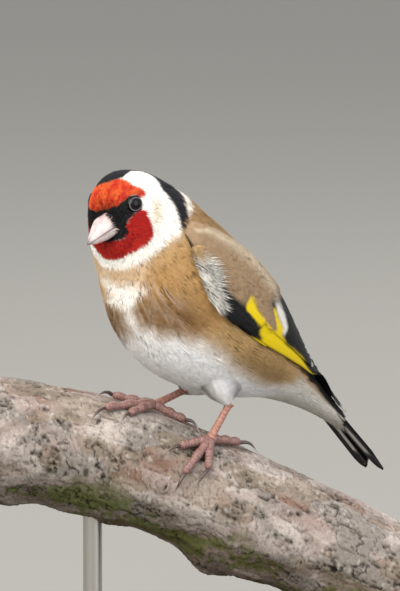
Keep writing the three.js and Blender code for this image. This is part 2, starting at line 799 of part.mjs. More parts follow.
const wholeBody = bodyLoft(0);
const headCut = sectionPlane(PARTINGS.head);
const neckCut = sectionPlane(PARTINGS.neck);
const tailCut = sectionPlane(PARTINGS.tail);
const torso = wholeBody
  .trimByPlane(neckCut.normal, neckCut.offset + GAP / 2)
  .trimByPlane(tailCut.normal.map((n) => -n), -tailCut.offset + GAP / 2);
const neck = wholeBody
  .trimByPlane(headCut.normal, headCut.offset + GAP / 2)
  .trimByPlane(neckCut.normal.map((n) => -n), -neckCut.offset + GAP / 2);

add("head", buildHead(wholeBody), "face");
add("bill_upper", largest(billHalf(true, 0).subtract(join([nostril(1), nostril(-1)]))), "bill");
add("bill_lower", billHalf(false, 0), "bill");
add("eye_left", eyeball(1, EYE.radius), "eye");
add("eye_right", eyeball(-1, EYE.radius), "eye");
add("neck", largest(neck), "plumage");
add("torso", largest(torso), "plumage");
const leftWing = buildWing();
add("wing_left", leftWing, "flight");
add("wing_right", mirrored(leftWing), "flight");
add("tail", buildTail(wholeBody), "flight");
for (const [side, leg] of Object.entries(LEGS)) {
  const { foot, tarsus, thigh, claws } = buildLeg(leg, wholeBody);
  add(`thigh_${side}`, thigh, "plumage");
  add(`tarsus_${side}`, tarsus, "leg");
  add(`foot_${side}`, foot, "leg");
  for (const [toe, claw] of Object.entries(claws)) add(`claw_${side}_${toe}`, claw, "claw");
}
add("perch", perchLoft(0), "bark");
STAND.rodsAlong.forEach((along, i) => add(`stand_rod_${i + 1}`, buildRod(along), "rod"));
add("stand_base", buildBase(), "wood");

export default group;
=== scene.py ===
import bpy
import math
import numpy as np
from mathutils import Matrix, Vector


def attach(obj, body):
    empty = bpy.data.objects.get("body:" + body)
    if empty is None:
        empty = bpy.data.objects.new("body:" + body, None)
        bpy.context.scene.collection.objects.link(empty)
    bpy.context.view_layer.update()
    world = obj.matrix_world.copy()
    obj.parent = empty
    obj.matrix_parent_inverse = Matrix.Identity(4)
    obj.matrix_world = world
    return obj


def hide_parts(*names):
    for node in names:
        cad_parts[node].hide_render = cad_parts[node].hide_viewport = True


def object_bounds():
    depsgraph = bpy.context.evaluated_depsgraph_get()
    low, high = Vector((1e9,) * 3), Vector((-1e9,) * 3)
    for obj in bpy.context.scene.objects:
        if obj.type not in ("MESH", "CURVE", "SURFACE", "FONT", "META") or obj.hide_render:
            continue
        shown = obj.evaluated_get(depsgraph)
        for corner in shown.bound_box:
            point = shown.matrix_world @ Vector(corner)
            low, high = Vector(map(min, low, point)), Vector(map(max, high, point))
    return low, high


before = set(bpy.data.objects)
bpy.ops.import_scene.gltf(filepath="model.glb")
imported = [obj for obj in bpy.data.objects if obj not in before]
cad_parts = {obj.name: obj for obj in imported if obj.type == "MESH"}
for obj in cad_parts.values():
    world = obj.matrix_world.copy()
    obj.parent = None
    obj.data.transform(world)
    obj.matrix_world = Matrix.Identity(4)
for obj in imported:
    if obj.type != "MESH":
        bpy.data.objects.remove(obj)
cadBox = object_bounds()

# European goldfinch on a cut length of branch, life size.
# The bird's own frame is in millimetres: -Y is forward, +X is its left, +Z is up.
# toWorld() lifts that frame onto the stand and turns it to metres.

lift = np.array([2.3493, -0.5664, 108.0])  # mm, from the bird's frame to the floor's
viewTurn = 52.0  # degrees round the bird, from its front to the camera
topGap = 0.00002  # m that every piece keeps under the solids' own top
leftWay = np.array([1.0, 0, 0])
upWay = np.array([0, 0, 1.0])
sideWord = {1: "left", -1: "right"}
draw = np.random.default_rng(7)  # every random draw below comes from here


def toWorld(points):
    # from the bird's millimetres to metres above the floor
    return (np.asarray(points, float) + lift) * 0.001


def unit(v):
    # each vector divided by its own length
    return v / np.maximum(np.linalg.norm(v, axis=-1, keepdims=True), 1e-9)


def ease(x):
    # 3x^2 - 2x^3 between 0 and 1, flat outside
    x = np.clip(x, 0, 1)
    return x * x * (3 - 2 * x)


def mix(a, b, t):
    # straight from a to b as t goes from 0 to 1
    return a + (b - a) * t


def tipped(pitch, ahead):
    # the directions along and up from something that points -1 or 1 on Y and down by its pitch in degrees
    c, s = math.cos(math.radians(pitch)), math.sin(math.radians(pitch))
    return np.array([0, ahead * c, -s]), np.array([0, ahead * s, c])


def standOff(thing, azimuth, elevation, distance):
    # stands a camera or a lamp off at two angles in degrees and a distance in mm, facing the bird
    a, e = math.radians(azimuth), math.radians(elevation)
    way = np.array([math.sin(a) * math.cos(e), -math.cos(a) * math.cos(e), math.sin(e)])
    thing.location = toWorld(way * distance)
    thing.rotation_euler = (math.radians(90) - e, 0, a)
    bpy.context.scene.collection.objects.link(thing)


# Camera

cameraSet = dict(elevation=8.0, distance=3000.0, pixelsPerMm=3.85, imageHeight=591, sensor=36.0, farEnd=50.0)


def makeCamera(c):
    # far off, on the line through the picture's middle; its lens sets how many pixels a millimetre takes up
    data = bpy.data.cameras.new("camera")
    data.sensor_width = c["sensor"]
    data.lens = c["pixelsPerMm"] * c["distance"] * c["sensor"] / c["imageHeight"]
    data.clip_end = c["farEnd"]
    cam = bpy.data.objects.new("camera", data)
    standOff(cam, viewTurn, c["elevation"], c["distance"])
    bpy.context.scene.camera = cam


makeCamera(cameraSet)
print("camera set")

# Colour and material helpers


def linear(hexCode):
    # an sRGB hex value as linear red, green and blue
    v = np.array([int(hexCode[i : i + 2], 16) for i in (1, 3, 5)]) / 255
    return np.where(v <= 0.04045, v / 12.92, ((v + 0.055) / 1.055) ** 2.4)


def linearSet(hexCodes):
    # every colour of a set, as linear
    return {name: linear(code) for name, code in hexCodes.items()}


def rgba(hexCode):
    # the same with full opacity, for sockets and ramps
    return (*linear(hexCode), 1.0)


def newMaterial(name):
    # an empty material, its node tree and its shader
    m = bpy.data.materials.new(name)
    m.use_nodes = True
    return m, m.node_tree, m.node_tree.nodes["Principled BSDF"]


def setNode(tree, node, settings, links=None):
    # sets a node's ramp stops, properties and inputs, and links its inputs from other sockets
    for key, value in settings.items():
        if key == "stops":
            while len(node.color_ramp.elements) < len(value):
                node.color_ramp.elements.new(0.5)
            for element, (place, hexCode) in zip(node.color_ramp.elements, value):
                element.position = place
                element.color = rgba(hexCode)
        elif isinstance(key, str) and hasattr(node, key):
            setattr(node, key, value)
        else:
            node.inputs[key].default_value = value
    for key, socket in (links or {}).items():
        tree.links.new(socket, node.inputs[key])
    return node


def addNode(tree, kind, settings=None, links=None):
    # adds one node with its settings and links
    return setNode(tree, tree.nodes.new(kind), settings or {}, links)


def toneOver(tree, tone, share=1.0):
    # the piece's own corner colours multiplied by a pattern's tones, as a socket for the base colour
    colour = addNode(tree, "ShaderNodeVertexColor", {"layer_name": "Tone"})
    made = addNode(tree, "ShaderNodeMix", {"data_type": "RGBA", "blend_type": "MULTIPLY", 0: share},
                   {6: colour.outputs["Color"], 7: tone.outputs["Color"]})
    return made.outputs[2]


# Mesh helpers


def newPiece(name, points, quads, tris, material, colours=None, uv=None, smooth=True):
    # puts whole arrays of corners, faces, colours and bake coordinates into one mesh object
    mesh = bpy.data.meshes.new(name)
    world = toWorld(points)
    world[:, 2] = np.minimum(world[:, 2], cadBox[1][2] - topGap)
    mesh.vertices.add(len(world))
    mesh.vertices.foreach_set("co", world.astype(np.float32).ravel())
    parts = [np.asarray(f, np.int32) for f in (quads, tris) if f is not None and len(f)]
    corners = np.concatenate([f.ravel() for f in parts])
    sizes = np.concatenate([np.full(len(f), f.shape[1]) for f in parts])
    starts = np.concatenate([[0], np.cumsum(sizes)[:-1]])
    mesh.loops.add(len(corners))
    mesh.loops.foreach_set("vertex_index", corners)
    mesh.polygons.add(len(sizes))
    mesh.polygons.foreach_set("loop_start", starts.astype(np.int32))
    mesh.polygons.foreach_set("use_smooth", np.full(len(sizes), smooth))
    mesh.update(calc_edges=True)
    if colours is not None:
        layer = mesh.color_attributes.new(name="Tone", type="FLOAT_COLOR", domain="POINT")
        layer.data.foreach_set("color", np.c_[colours, np.ones(len(colours))].astype(np.float32).ravel())
    if uv is not None:
        layer = mesh.uv_layers.new(name="OFBake")
        layer.data.foreach_set("uv", uv[corners].astype(np.float32).ravel())
    piece = bpy.data.objects.new(name, mesh)
    bpy.context.scene.collection.objects.link(piece)
    mesh.materials.append(material)
    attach(piece, "root")
    return piece


def gridQuads(rows, columns, closed=False):
    # the four-sided faces of a grid of corners, its last column joined to its first when closed
    i, j = np.meshgrid(np.arange(rows - 1), np.arange(columns if closed else columns - 1), indexing="ij")
    k = (j + 1) % columns
    quads = np.stack([i * columns + j, i * columns + k, (i + 1) * columns + k, (i + 1) * columns + j], -1)
    return quads.reshape(-1, 4)


def closedLoft(rings):
    # rings of corners (rows, columns, 3), skinned, with a fan over each end
    rows, columns = rings.shape[:2]
    points = np.concatenate([rings.reshape(-1, 3), rings[:1].mean(1), rings[-1:].mean(1)])
    quads = gridQuads(rows, columns, closed=True)
    j = np.arange(columns)
    k = (j + 1) % columns
    n = rows * columns
    first = np.stack([np.full(columns, n), k, j], -1)
    last = np.stack([np.full(columns, n + 1), (rows - 1) * columns + j, (rows - 1) * columns + k], -1)
    tris = np.concatenate([first, last])
    if signedVolume(points, quads, tris) < 0:
        quads, tris = quads[:, ::-1], tris[:, ::-1]
    return points, quads, tris


def signedVolume(points, quads, *tris):
    # the sum of the tetrahedra from the middle, positive when the faces look outwards
    t = np.concatenate([quads[:, [0, 1, 2]], quads[:, [0, 2, 3]], *tris])
    p = points - points.mean(0)
    return np.einsum("ij,ij->", p[t[:, 0]], np.cross(p[t[:, 1]], p[t[:, 2]])) / 6


def sided(side, points, *faces):
    # the left side's corners and faces, or the same mirrored on to the right
    if side > 0:
        return points, *faces
    return points * np.array([-1, 1, 1]), *(f[:, ::-1] for f in faces)


def tube(path, radii, sides, ridges=None):
    # circles across a path; the frame turns with the path, and ridges swell the radius as rows by sides
    path = np.asarray(path, float)
    along = unit(np.gradient(path, axis=0))
    u = unit(np.cross(along, [0.3, 0.2, 1.0]))
    v = np.cross(along, u)
    a = np.linspace(0, 2 * np.pi, sides, endpoint=False)
    r = np.asarray(radii, float)[:, None] * np.ones(sides)
    if ridges is not None:
        r = r + ridges
    ring = u[:, None] * np.cos(a)[None, :, None] + v[:, None] * np.sin(a)[None, :, None]
    return path[:, None] + r[..., None] * ring


def joinParts(parts):
    # several (points, quads, tris) as one
    points, quads, tris, n = [], [], [], 0
    for p, q, t in parts:
        points.append(p)
        quads.append(q + n)
        tris.append(t + n)
        n += len(p)
    return np.concatenate(points), np.concatenate(quads), np.concatenate(tris)


def spline(control, t):
    # a uniform Catmull-Rom curve through the rows of control, at shares t of its length in rows
    c = np.asarray(control, float)
    n = len(c)
    place = np.clip(t, 0, 1) * (n - 1)
    i = np.minimum(place.astype(int), n - 2)
    w = place - i
    e = np.concatenate([[2 * c[0] - c[1]], c, [2 * c[-1] - c[-2]]])
    p0, p1, p2, p3 = e[i], e[i + 1], e[i + 2], e[i + 3]
    if c.ndim == 2:
        w = w[..., None]
    a, b = 0.5 * (p2 - p0), 0.5 * (p3 - p1)
    return (2 * p1 - 2 * p2 + a + b) * w**3 + (3 * p2 - 3 * p1 - 2 * a - b) * w**2 + a * w + p1


# large odd numbers that scatter the corners' values: for x, y and z, for the seed, and for the stirring
hashSet = dict(steps=np.array([374761393, 668265263, 2147483647]), seed=1274126177, stir=1103515245)


def valueNoise(p, seed=0):
    # smooth noise from -1 to 1: hashed values on whole-number corners, blended across each cell
    p = np.asarray(p, float)
    cell = np.floor(p).astype(np.int64)
    f = ease(p - cell)
    total = np.zeros(p.shape[:-1])
    for corner in np.ndindex(2, 2, 2):
        h = ((cell + corner) * hashSet["steps"]).sum(-1) + seed * hashSet["seed"]
        h = (h ^ (h >> 13)) * hashSet["stir"]
        h = ((h ^ (h >> 16)) & 65535) / 32767.5 - 1
        wx, wy, wz = np.moveaxis(np.where(corner, f, 1 - f), -1, 0)
        total += h * wx * wy * wz
    return total


def layeredNoise(p, octaves=4, seed=0):
    # each layer is twice as fine and half as strong as the one before
    return sum(valueNoise(p * 2.0**k, seed + k) * 0.5**k for k in range(octaves))


# The body: back line, breast line and half width at fifteen places from bill to tail, in mm

bodySet = dict(
    back=[(-32.9, 24.2), (-33.5, 28.8), (-31.0, 32.6), (-25.0, 34.9), (-16.5, 33.2), (-7.8, 28.2),
          (-0.6, 22.4), (6.8, 16.0), (13.4, 8.8), (19.0, 1.0), (23.6, -6.8), (28.2, -14.0), (33.2, -20.8),
          (38.6, -26.8), (45.2, -33.6)],
    breast=[(-32.7, 18.0), (-31.6, 14.8), (-30.4, 11.8), (-29.2, 7.6), (-28.3, 2.6), (-27.2, -2.6),
            (-24.2, -8.8), (-18.6, -15.6), (-11.0, -21.0), (-2.0, -24.9), (8.0, -27.3), (18.6, -28.4),
            (28.0, -30.8), (36.4, -34.0), (45.0, -38.4)],
    half=[3.5, 5.7, 7.5, 9.6, 11.0, 13.0, 15.4, 17.0, 17.4, 16.6, 14.6, 11.4, 8.2, 5.6, 4.4],
    roundness=0.9,
    headYaw=14.5,
    headPivotY=-24.5,
    neck=(0.16, 0.24),  # the share of the length where the head's turn starts to ease out, and over how much
    length=112.0,
    mmPerDegree=0.22,  # round the body, for the outlines below
)
headSet = dict(eyeLevel=(0, -29, 27), pitch=24.0)
headForward, headUp = tipped(headSet["pitch"], -1)


def headTurn(points, share):
    # turns points about the upright line through the neck, by a share of the head's own turn
    a = np.radians(bodySet["headYaw"]) * share
    x, y = points[..., 0], points[..., 1] - bodySet["headPivotY"]
    c, s = np.cos(a), np.sin(a)
    return np.stack([x * c - y * s, x * s + y * c + bodySet["headPivotY"], points[..., 2]], -1)


def bodyAt(u, angle):
    # an oval across the body at share u of its length, angle 0 at its left side and 90 degrees on its back
    back, breast = spline(bodySet["back"], u), spline(bodySet["breast"], u)
    half = spline(bodySet["half"], u)
    middle, rise = (back + breast) / 2, (back - breast) / 2
    c, s = np.cos(angle), np.sin(angle)
    x = half * np.sign(c) * np.abs(c) ** bodySet["roundness"]
    k = np.sign(s) * np.abs(s) ** bodySet["roundness"]
    flat = np.stack([x, middle[..., 0] + rise[..., 0] * k, middle[..., 1] + rise[..., 1] * k], -1)
    start, long = bodySet["neck"]
    return headTurn(flat, 1 - ease((u - start) / long))


def bodySlopes(u, angle, step=2e-3):
    # the surface's directions along and around, in mm per unit of u and per radian, and its outward normal
    along = bodyAt(np.minimum(u + step, 1), angle) - bodyAt(np.maximum(u - step, 0), angle)
    around = bodyAt(u, angle + step) - bodyAt(u, angle - step)
    along, around = along / (2 * step), around / (2 * step)
    return along, around, unit(np.cross(along, around))


def headAt(forward, side, up):
    # a point given in the head's own directions, from midway between the eyes
    f, s, u = np.broadcast_arrays(forward, side, up)
    p = np.asarray(headSet["eyeLevel"], float) + f[..., None] * headForward + u[..., None] * headUp
    return headTurn(p + s[..., None] * leftWay, 1.0)


def intoHead(points):
    # the same turned back: forward, side and up of any points
    p = headTurn(points, -1.0) - np.asarray(headSet["eyeLevel"], float)
    return p @ headForward, p[..., 0], p @ headUp


# Markings: outlines on the body in (share of its length, degrees from the back's middle line)

markSet = dict(
    forehead=[(0.018, -25), (0.022, 14), (0.068, 47), (0.12, 52), (0.147, 51), (0.183, 55), (0.206, 59),
              (0.215, 54), (0.208, 48), (0.192, 45), (0.179, 38), (0.174, 20), (0.157, 8), (0.136, -2),
              (0.133, -25)],
    lores=[(-0.05, -25), (0.018, -25), (0.022, 14), (0.068, 47), (0.12, 52), (0.147, 51), (0.183, 55),
           (0.195, 62), (0.191, 68), (0.176, 76), (0.143, 80), (0.119, 85), (0.099, 94), (0.115, 104),
           (0.092, 113), (0.06, 120), (-0.05, 120)],
    chinLine=[(-0.05, 90), (0.09, 90), (0.115, 104), (0.092, 113), (0.05, 130), (0.028, 146), (0.03, 205),
              (-0.05, 205)],
    throat=[(0.02, 205), (0.028, 146), (0.05, 130), (0.092, 113), (0.1, 94), (0.119, 84), (0.143, 78),
            (0.176, 74), (0.19, 68), (0.205, 72), (0.216, 79), (0.239, 87), (0.251, 92), (0.247, 101),
            (0.195, 116), (0.164, 134), (0.138, 160), (0.142, 205)],
    crown=[(0.133, -25), (0.136, -2), (0.157, 8), (0.174, 15), (0.187, 14), (0.226, 9), (0.263, 7),
           (0.274, 18), (0.275, 31), (0.28, 42), (0.3, 47), (0.314, 54), (0.324, 60), (0.336, 68),
           (0.345, 71), (0.351, 66), (0.35, 53), (0.345, 34), (0.34, 14), (0.338, -25)],
    cheek=[(0.165, 10), (0.19, 6), (0.27, 2), (0.29, 25), (0.29, 40), (0.31, 50), (0.335, 64), (0.343, 70),
           (0.338, 79), (0.318, 87), (0.292, 100), (0.25, 118), (0.203, 140), (0.184, 168), (0.19, 205),
           (0.1, 205), (0.1, 110), (0.12, 80), (0.15, 60)],
    buff=[(0.235, 62), (0.262, 58), (0.275, 66), (0.268, 82), (0.245, 84)],
    napeSpot=[(0.34, -25), (0.34, 14), (0.346, 34), (0.352, 54), (0.366, 40), (0.36, -25)],
    breastBand=[(0.184, 205), (0.184, 168), (0.203, 140), (0.25, 118), (0.292, 100), (0.318, 87),
                (0.338, 79), (0.345, 66), (0.43, 66), (0.42, 100), (0.36, 120), (0.325, 132), (0.3, 140),
                (0.265, 155), (0.24, 185), (0.236, 205)],
    breastPatch=[(0.279, 116), (0.325, 99), (0.361, 78), (0.403, 74), (0.466, 84), (0.525, 92),
                 (0.515, 108), (0.496, 120), (0.46, 134), (0.44, 143), (0.408, 154), (0.356, 158),
                 (0.33, 148), (0.333, 130), (0.3, 134)],
    breastDark=[(0.342, 156), (0.339, 140), (0.383, 119), (0.435, 104), (0.496, 104), (0.506, 112),
                (0.48, 126), (0.442, 142), (0.405, 157)],
    flank=[(0.46, 80), (0.52, 66), (0.7, 66), (0.8, 88), (0.79, 108), (0.768, 121), (0.712, 124),
           (0.631, 120), (0.551, 118), (0.5, 124), (0.47, 122), (0.46, 105)],
    flankDark=[(0.6, 112), (0.63, 99), (0.715, 94), (0.76, 100), (0.755, 114), (0.705, 121)],
    rump=[(0.74, -25), (0.75, 40), (0.79, 56), (0.82, 40), (0.82, -25)],
    tailCovert=[(0.82, -25), (0.8, 30), (0.83, 60), (0.863, 73), (0.907, 84), (0.95, 92), (1.05, 108),
                (1.05, -25)],
)
plumageHex = dict(
    # bellyShade is painted shade for the belly's underside
    white="#f6f3ec", belly="#eeeeee", bellyShade="#d6d7d9", mantle="#9a7a50", mantleDark="#7e6240",
    nape="#a08258", red="#b92a15", redDeep="#93130e", orange="#de6226", throat="#a2100b", black="#0c0b0e",
    crown="#12131a", tawny="#cba97a", patch="#aa8350", patchDark="#6f4f2b", flank="#ad8d5c",
    flankDark="#7a6038", buff="#d3bd95", vent="#d4d0c6", rump="#ece7dc", tailCovert="#131214",
)
plumageLinear = linearSet(plumageHex)


def outlineMask(outline, u, degrees, soft):
    # 1 inside the outline and 0 outside, eased over soft mm: distance to the nearest edge, by even-odd sides
    x, y = u * bodySet["length"], degrees * bodySet["mmPerDegree"]
    c = np.array(outline) * (bodySet["length"], bodySet["mmPerDegree"])
    inside = np.zeros(x.shape, bool)
    nearest = np.full(x.shape, 1e9)
    for (ax, ay), (bx, by) in zip(c, np.roll(c, -1, 0)):
        wide, high = bx - ax, by - ay
        crosses = (ay > y) != (by > y)
        inside ^= crosses & (x < wide * (y - ay) / (high + 1e-12) + ax)
        share = np.clip(((x - ax) * wide + (y - ay) * high) / (wide**2 + high**2), 0, 1)
        nearest = np.minimum(nearest, np.hypot(x - ax - share * wide, y - ay - share * high))
    return ease(0.5 + np.where(inside, nearest, -nearest) / (2 * soft))


# degrees from the solid's own middle to the fold between near and far side: rightwards on the face, leftwards
# on the breast
foldSet = dict(face=22, breast=16)


def nearAngle(u, angle):
    # degrees from the back's middle line down the left side; the right side is folded on to it
    face = foldSet["face"] * (1 - ease((u - 0.2) / 0.1))
    breast = foldSet["breast"] * (ease((u - 0.24) / 0.06) * (1 - ease((u - 0.5) / 0.15)))
    top, low = -face, 180 + face - breast
    # angle 0 is the left side and 90 the back, so 90 less the angle counts down the left side
    down = (90 - np.degrees(angle) - top) % 360 + top
    folded = top + (360 + top - down) / (360 + top - low) * (low - top)
    return np.where(down <= low, down, folded)


# where the eyes sit, needed by the markings and the coat; in mm, with a black ring and a bare one round each
eyeSet = dict(place=(0.5, 7.38, 0.3), look=(0.3, 0.9, 0.3), radius=2.75, sunk=2.17, lidRadius=1.7,
              lidWire=0.16, blackRing=1.6, blackSoft=0.5, bareRing=2.0)


def eyeSeat(side):
    # the middle of the eye's opening and the way that it looks
    f, s, up = eyeSet["place"]
    forward, outwards, upwards = eyeSet["look"]
    place = headAt(f, side * s, up)
    return place, unit(headAt(f + forward, side * (s + outwards), up + upwards) - place)


def eyeDistance(points):
    # distance from the line of sight of the nearer eye, for points by that eye, and far for all others
    least = np.full(points.shape[:-1], 99.0)
    for side in (1, -1):
        place, look = eyeSeat(side)
        d = points - place
        along = d @ look
        off = np.linalg.norm(d - along[..., None] * look, axis=-1)
        least = np.where(np.abs(along) < 4, np.minimum(least, off), least)
    return least


def plumageColour(u, angle):
    # lays the markings and the belly's painted shade over one another, from the widest ground to the smallest
    # patch
    around = nearAngle(u, angle)
    point = np.stack([u * 40, np.sin(angle) * 6, np.cos(angle) * 6], -1)
    wave = layeredNoise(point, 3, 3)
    streak = valueNoise(np.stack([u * 26, np.degrees(angle) * 0.28, 0 * u], -1), 9)
    colour = np.ones(u.shape + (3,)) * plumageLinear["mantle"]

    def lay(name, mask):
        nonlocal colour
        colour = mix(colour, plumageLinear[name], np.clip(mask, 0, 1)[..., None])

    def mark(name, soft, rough=1.0):
        return outlineMask(markSet[name], u + wave * 0.004 * rough, around + wave * 1.2 * rough, soft)

    lay("mantleDark", ease(0.5 + streak * 1.4) * 0.6)
    lay("nape", ease(1 - (u - 0.33) / 0.1) * 0.55)
    lay("belly", ease((around - 100) / 22))
    # painted shade: grey over the belly's underside, growing towards the tail
    lay("bellyShade", ease((around - 108) / 18) * ease((u - 0.45) / 0.3) * (0.35 + 0.35 * streak))
    lay("vent", ease((around - 78) / 20) * ease((u - 0.74) / 0.08) * 0.8)
    lay("white", ease((around - 118) / 16) * (1 - ease((u - 0.38) / 0.12)))
    lay("rump", mark("rump", 3.0) * 0.9)
    lay("tailCovert", mark("tailCovert", 1.6))
    lay("tawny", mark("breastBand", 2.6) * 0.85)
    lay("flank", mark("flank", 3.4) * 0.95)
    lay("patch", mark("breastPatch", 2.6) * (0.85 + 0.2 * streak))
    lay("patchDark", mark("breastDark", 2.8) * (0.75 + 0.2 * streak))
    lay("flankDark", mark("flankDark", 3.0) * 0.7)
    lay("white", mark("cheek", 1.1))
    lay("buff", mark("buff", 2.4) * 0.6)
    lay("white", mark("napeSpot", 0.8) * 0.8)
    lay("crown", mark("crown", 0.6))
    lay("throat", mark("throat", 0.5))
    lay("red", mark("throat", 0.5) * ease(0.45 + wave) * 0.5)
    lay("red", mark("forehead", 0.45))
    lay("orange", mark("forehead", 1.2) * ease(0.55 + wave * 0.8) * 0.85)
    lay("redDeep", mark("forehead", 0.5) * outlineMask(markSet["lores"], u, around, 4.5) * 0.8)
    lay("black", mark("lores", 0.4, 0.5))
    lay("black", mark("chinLine", 0.4, 0.5))
    eye = eyeDistance(bodyAt(u, angle)) - eyeSet["blackRing"]
    lay("black", 1 - ease(eye / eyeSet["blackSoft"]))
    return colour


# Plumage: soft barbs in small fans, each fan one body feather


# Body feathers: webs of keratin barbs grown from the skin. Matt, with a faint sheen where barbs lie parallel.
def plumageMaterial(name, roughness, sheen):
    m, tree, shader = newMaterial(name)
    place = addNode(tree, "ShaderNodeTexCoord")
    # flecks of about 1 mm, the width of a few barbs
    fleck = addNode(tree, "ShaderNodeTexNoise", {"Scale": 900.0, "Detail": 2.0},
                    {"Vector": place.outputs["Object"]})
    tone = addNode(tree, "ShaderNodeValToRGB", {"stops": [(0.3, "#ececec"), (0.7, "#ffffff")]},
                   {"Fac": fleck.outputs["Fac"]})
    setNode(tree, shader, {"Roughness": roughness, "IOR": 1.5, "Specular IOR Level": 0.25,
                           "Sheen Weight": sheen, "Sheen Roughness": 0.5},
            {"Base Color": toneOver(tree, tone)})
    return m


skinMaterial = plumageMaterial("down over skin, matt", 0.9, 0.0)
barbMaterial = plumageMaterial("body feather barbs, soft keratin", 0.75, 0.06)

skinSet = dict(rows=220, sides=180, faceDepth=0.5, breastDepth=1.15)
thighFlesh = []  # (points, quads, tris, colours) of each thigh, filled in with the legs


def coatDepth(u):
    # how far the skin lies under the plumage, in mm: least on the face, most on the breast
    return mix(skinSet["faceDepth"], skinSet["breastDepth"], ease((u - 0.05) / 0.35))


def makeSkin(s):
    # the body's oval sections, drawn in by the coat's depth, closed at both ends
    u, angle = np.meshgrid(np.linspace(0, 1, s["rows"]),
                           np.linspace(0, 2 * np.pi, s["sides"], endpoint=False), indexing="ij")
    rings = bodyAt(u, angle) - bodySlopes(u, angle)[2] * coatDepth(u)[..., None]
    points, quads, tris = closedLoft(rings)
    colours = np.concatenate([plumageColour(u, angle).reshape(-1, 3), np.full((2, 3), 0.02)])
    for more, moreQuads, moreTris, hues in thighFlesh:
        quads = np.concatenate([quads, moreQuads + len(points)])
        tris = np.concatenate([tris, moreTris + len(points)])
        points, colours = np.concatenate([points, more]), np.concatenate([colours, hues])
    skin = newPiece("skin", points, quads, tris, skinMaterial, colours)
    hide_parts("torso", "neck", "head", "thigh_left", "thigh_right")


barbRidge = 0.15  # height of a barb's ridge as a share of its width
longSteps = np.array([0, 0.36, 0.72, 1.0])  # where a three-ring barb's rings and tip stand along it
shortSteps = np.array([0, 0.55, 1.0])  # the same for two rings
shortShade = (0.92, 1.0, 1.04)  # painted shade at the root, where each barb lies under others, and painted light at the tip


def barbs(path, up, across, width):
    # tapering three-sided blades: at each ring a left, a ridge and a right corner, and one corner at the tip
    # path, up and across are (count, rings + 1, 3); width is (count, rings)
    count, rings = width.shape
    body, w = path[:, :rings], width[..., None]
    left = body - across[:, :rings] * w * 0.5
    right = body + across[:, :rings] * w * 0.5
    ridge = body + up[:, :rings] * w * barbRidge
    ring = np.stack([left, ridge, right], 2).reshape(count, rings * 3, 3)
    points = np.concatenate([ring, path[:, rings:]], 1)
    quads = [[3 * i + a, 3 * i + b, 3 * i + 3 + b, 3 * i + 3 + a]
             for i in range(rings - 1) for a, b in ((0, 1), (1, 2), (2, 0))]
    e = 3 * (rings - 1)
    tris = [[0, 2, 1], [e, e + 1, 3 * rings], [e + 1, e + 2, 3 * rings], [e + 2, e, 3 * rings]]
    step = np.arange(count)[:, None, None] * (3 * rings + 1)
    faces = [(np.array(f)[None] + step).reshape(-1, len(f[0])) for f in (quads, tris)]
    return points.reshape(-1, 3), faces[0], faces[1]


def acrossOf(path, up):
    # the way across each barb, square to its path and to the surface's up
    return unit(np.cross(up, np.gradient(path, axis=1)))


def shaded(base, tone, ringShade, most=0.95):
    # each barb's colour times its own tone, times painted shade and light for each of its rings and its tip:
    # darker at the root, under the other barbs, lighter at the open tip
    shade = np.repeat(ringShade, [3] * (len(ringShade) - 1) + [1])
    return np.clip(base[:, None] * tone[:, None, None] * shade[None, :, None], 0, most).reshape(-1, 3)


bakeSet = dict(u=(0.03, 0.93), v=(0.01, 0.97), patch=0.003)


def bakePatch(rootU, rootV, count, corners):
    # each barb's own small square of the bake map, at its root's place on the unwrapped skin
    a = np.tile(np.linspace(0, 1, corners), (count, 1))
    b = np.tile(np.arange(corners) % 3 / 2, (count, 1))
    (fromU, wide), (fromV, high) = bakeSet["u"], bakeSet["v"]
    x = fromU + wide * np.clip(rootU, 0, 1)[:, None] + bakeSet["patch"] * a
    y = fromV + high * (rootV[:, None] % 1) + bakeSet["patch"] * b
    return np.stack([x, y], -1).reshape(-1, 2)


def barbPiece(name, side, path, up, across, width, colours, rootU, rootV, smooth=True):
    # one mesh of many barbs, mirrored for the right side
    points, quads, tris = sided(side, *barbs(path, up, across, width))
    uv = bakePatch(rootU, rootV, len(path), 3 * width.shape[1] + 1)
    return newPiece(name, points, quads, tris, barbMaterial, colours, uv, smooth)


coatSet = dict(
    # u from and to, feather spacing in mm, barb length and width in mm, barbs to a feather, fan in degrees
    face=dict(span=(0.0, 0.17), spacing=0.62, length=1.6, width=0.2, fan=7, spread=10, ragged=0.5),
    crown=dict(span=(0.15, 0.27), spacing=0.8, length=2.5, width=0.23, fan=8, spread=10, ragged=0.5),
    nape=dict(span=(0.25, 0.37), spacing=1.14, length=3.6, width=0.26, fan=10, spread=12, ragged=0.6),
    breast=dict(span=(0.35, 0.52), spacing=1.75, length=5.2, width=0.3, fan=15, spread=13, ragged=0.7),
    belly=dict(span=(0.5, 0.7), spacing=1.95, length=6.2, width=0.3, fan=16, spread=13, ragged=0.8),
    vent=dict(span=(0.68, 0.98), spacing=1.75, length=6.0, width=0.29, fan=14, spread=12, ragged=0.6),
)
# how many places are tried as roots, two steps that scatter them evenly, and how full the scatter is
scatterSet = dict(tries=60000, stepU=0.7548776662, stepAngle=0.5698402910, filled=0.55)
# an oval round the bill's root in the head's own directions, in mm, that barbs keep clear of
billRoot = dict(tip=14.6, long=10, half=4.0, high=3.3, drop=3.9, back=2.0, clear=1.05)


def billShare(points):
    # how deep points lie inside the bill's root: under 1 is inside
    b = billRoot
    f, s, up = intoHead(points)
    taper = np.clip((b["tip"] - f) / b["long"], 0.02, 1)
    return np.hypot(s / (b["half"] * taper), (up + b["drop"]) / (b["high"] * taper)) + (f < b["back"])


def slopeLengths(u, angle):
    # mm per unit of u and per radian, kept from running out at the body's two ends
    along, around, _ = bodySlopes(u, angle)
    return np.maximum(np.linalg.norm(along, axis=-1), 25), np.maximum(np.linalg.norm(around, axis=-1), 2.5)


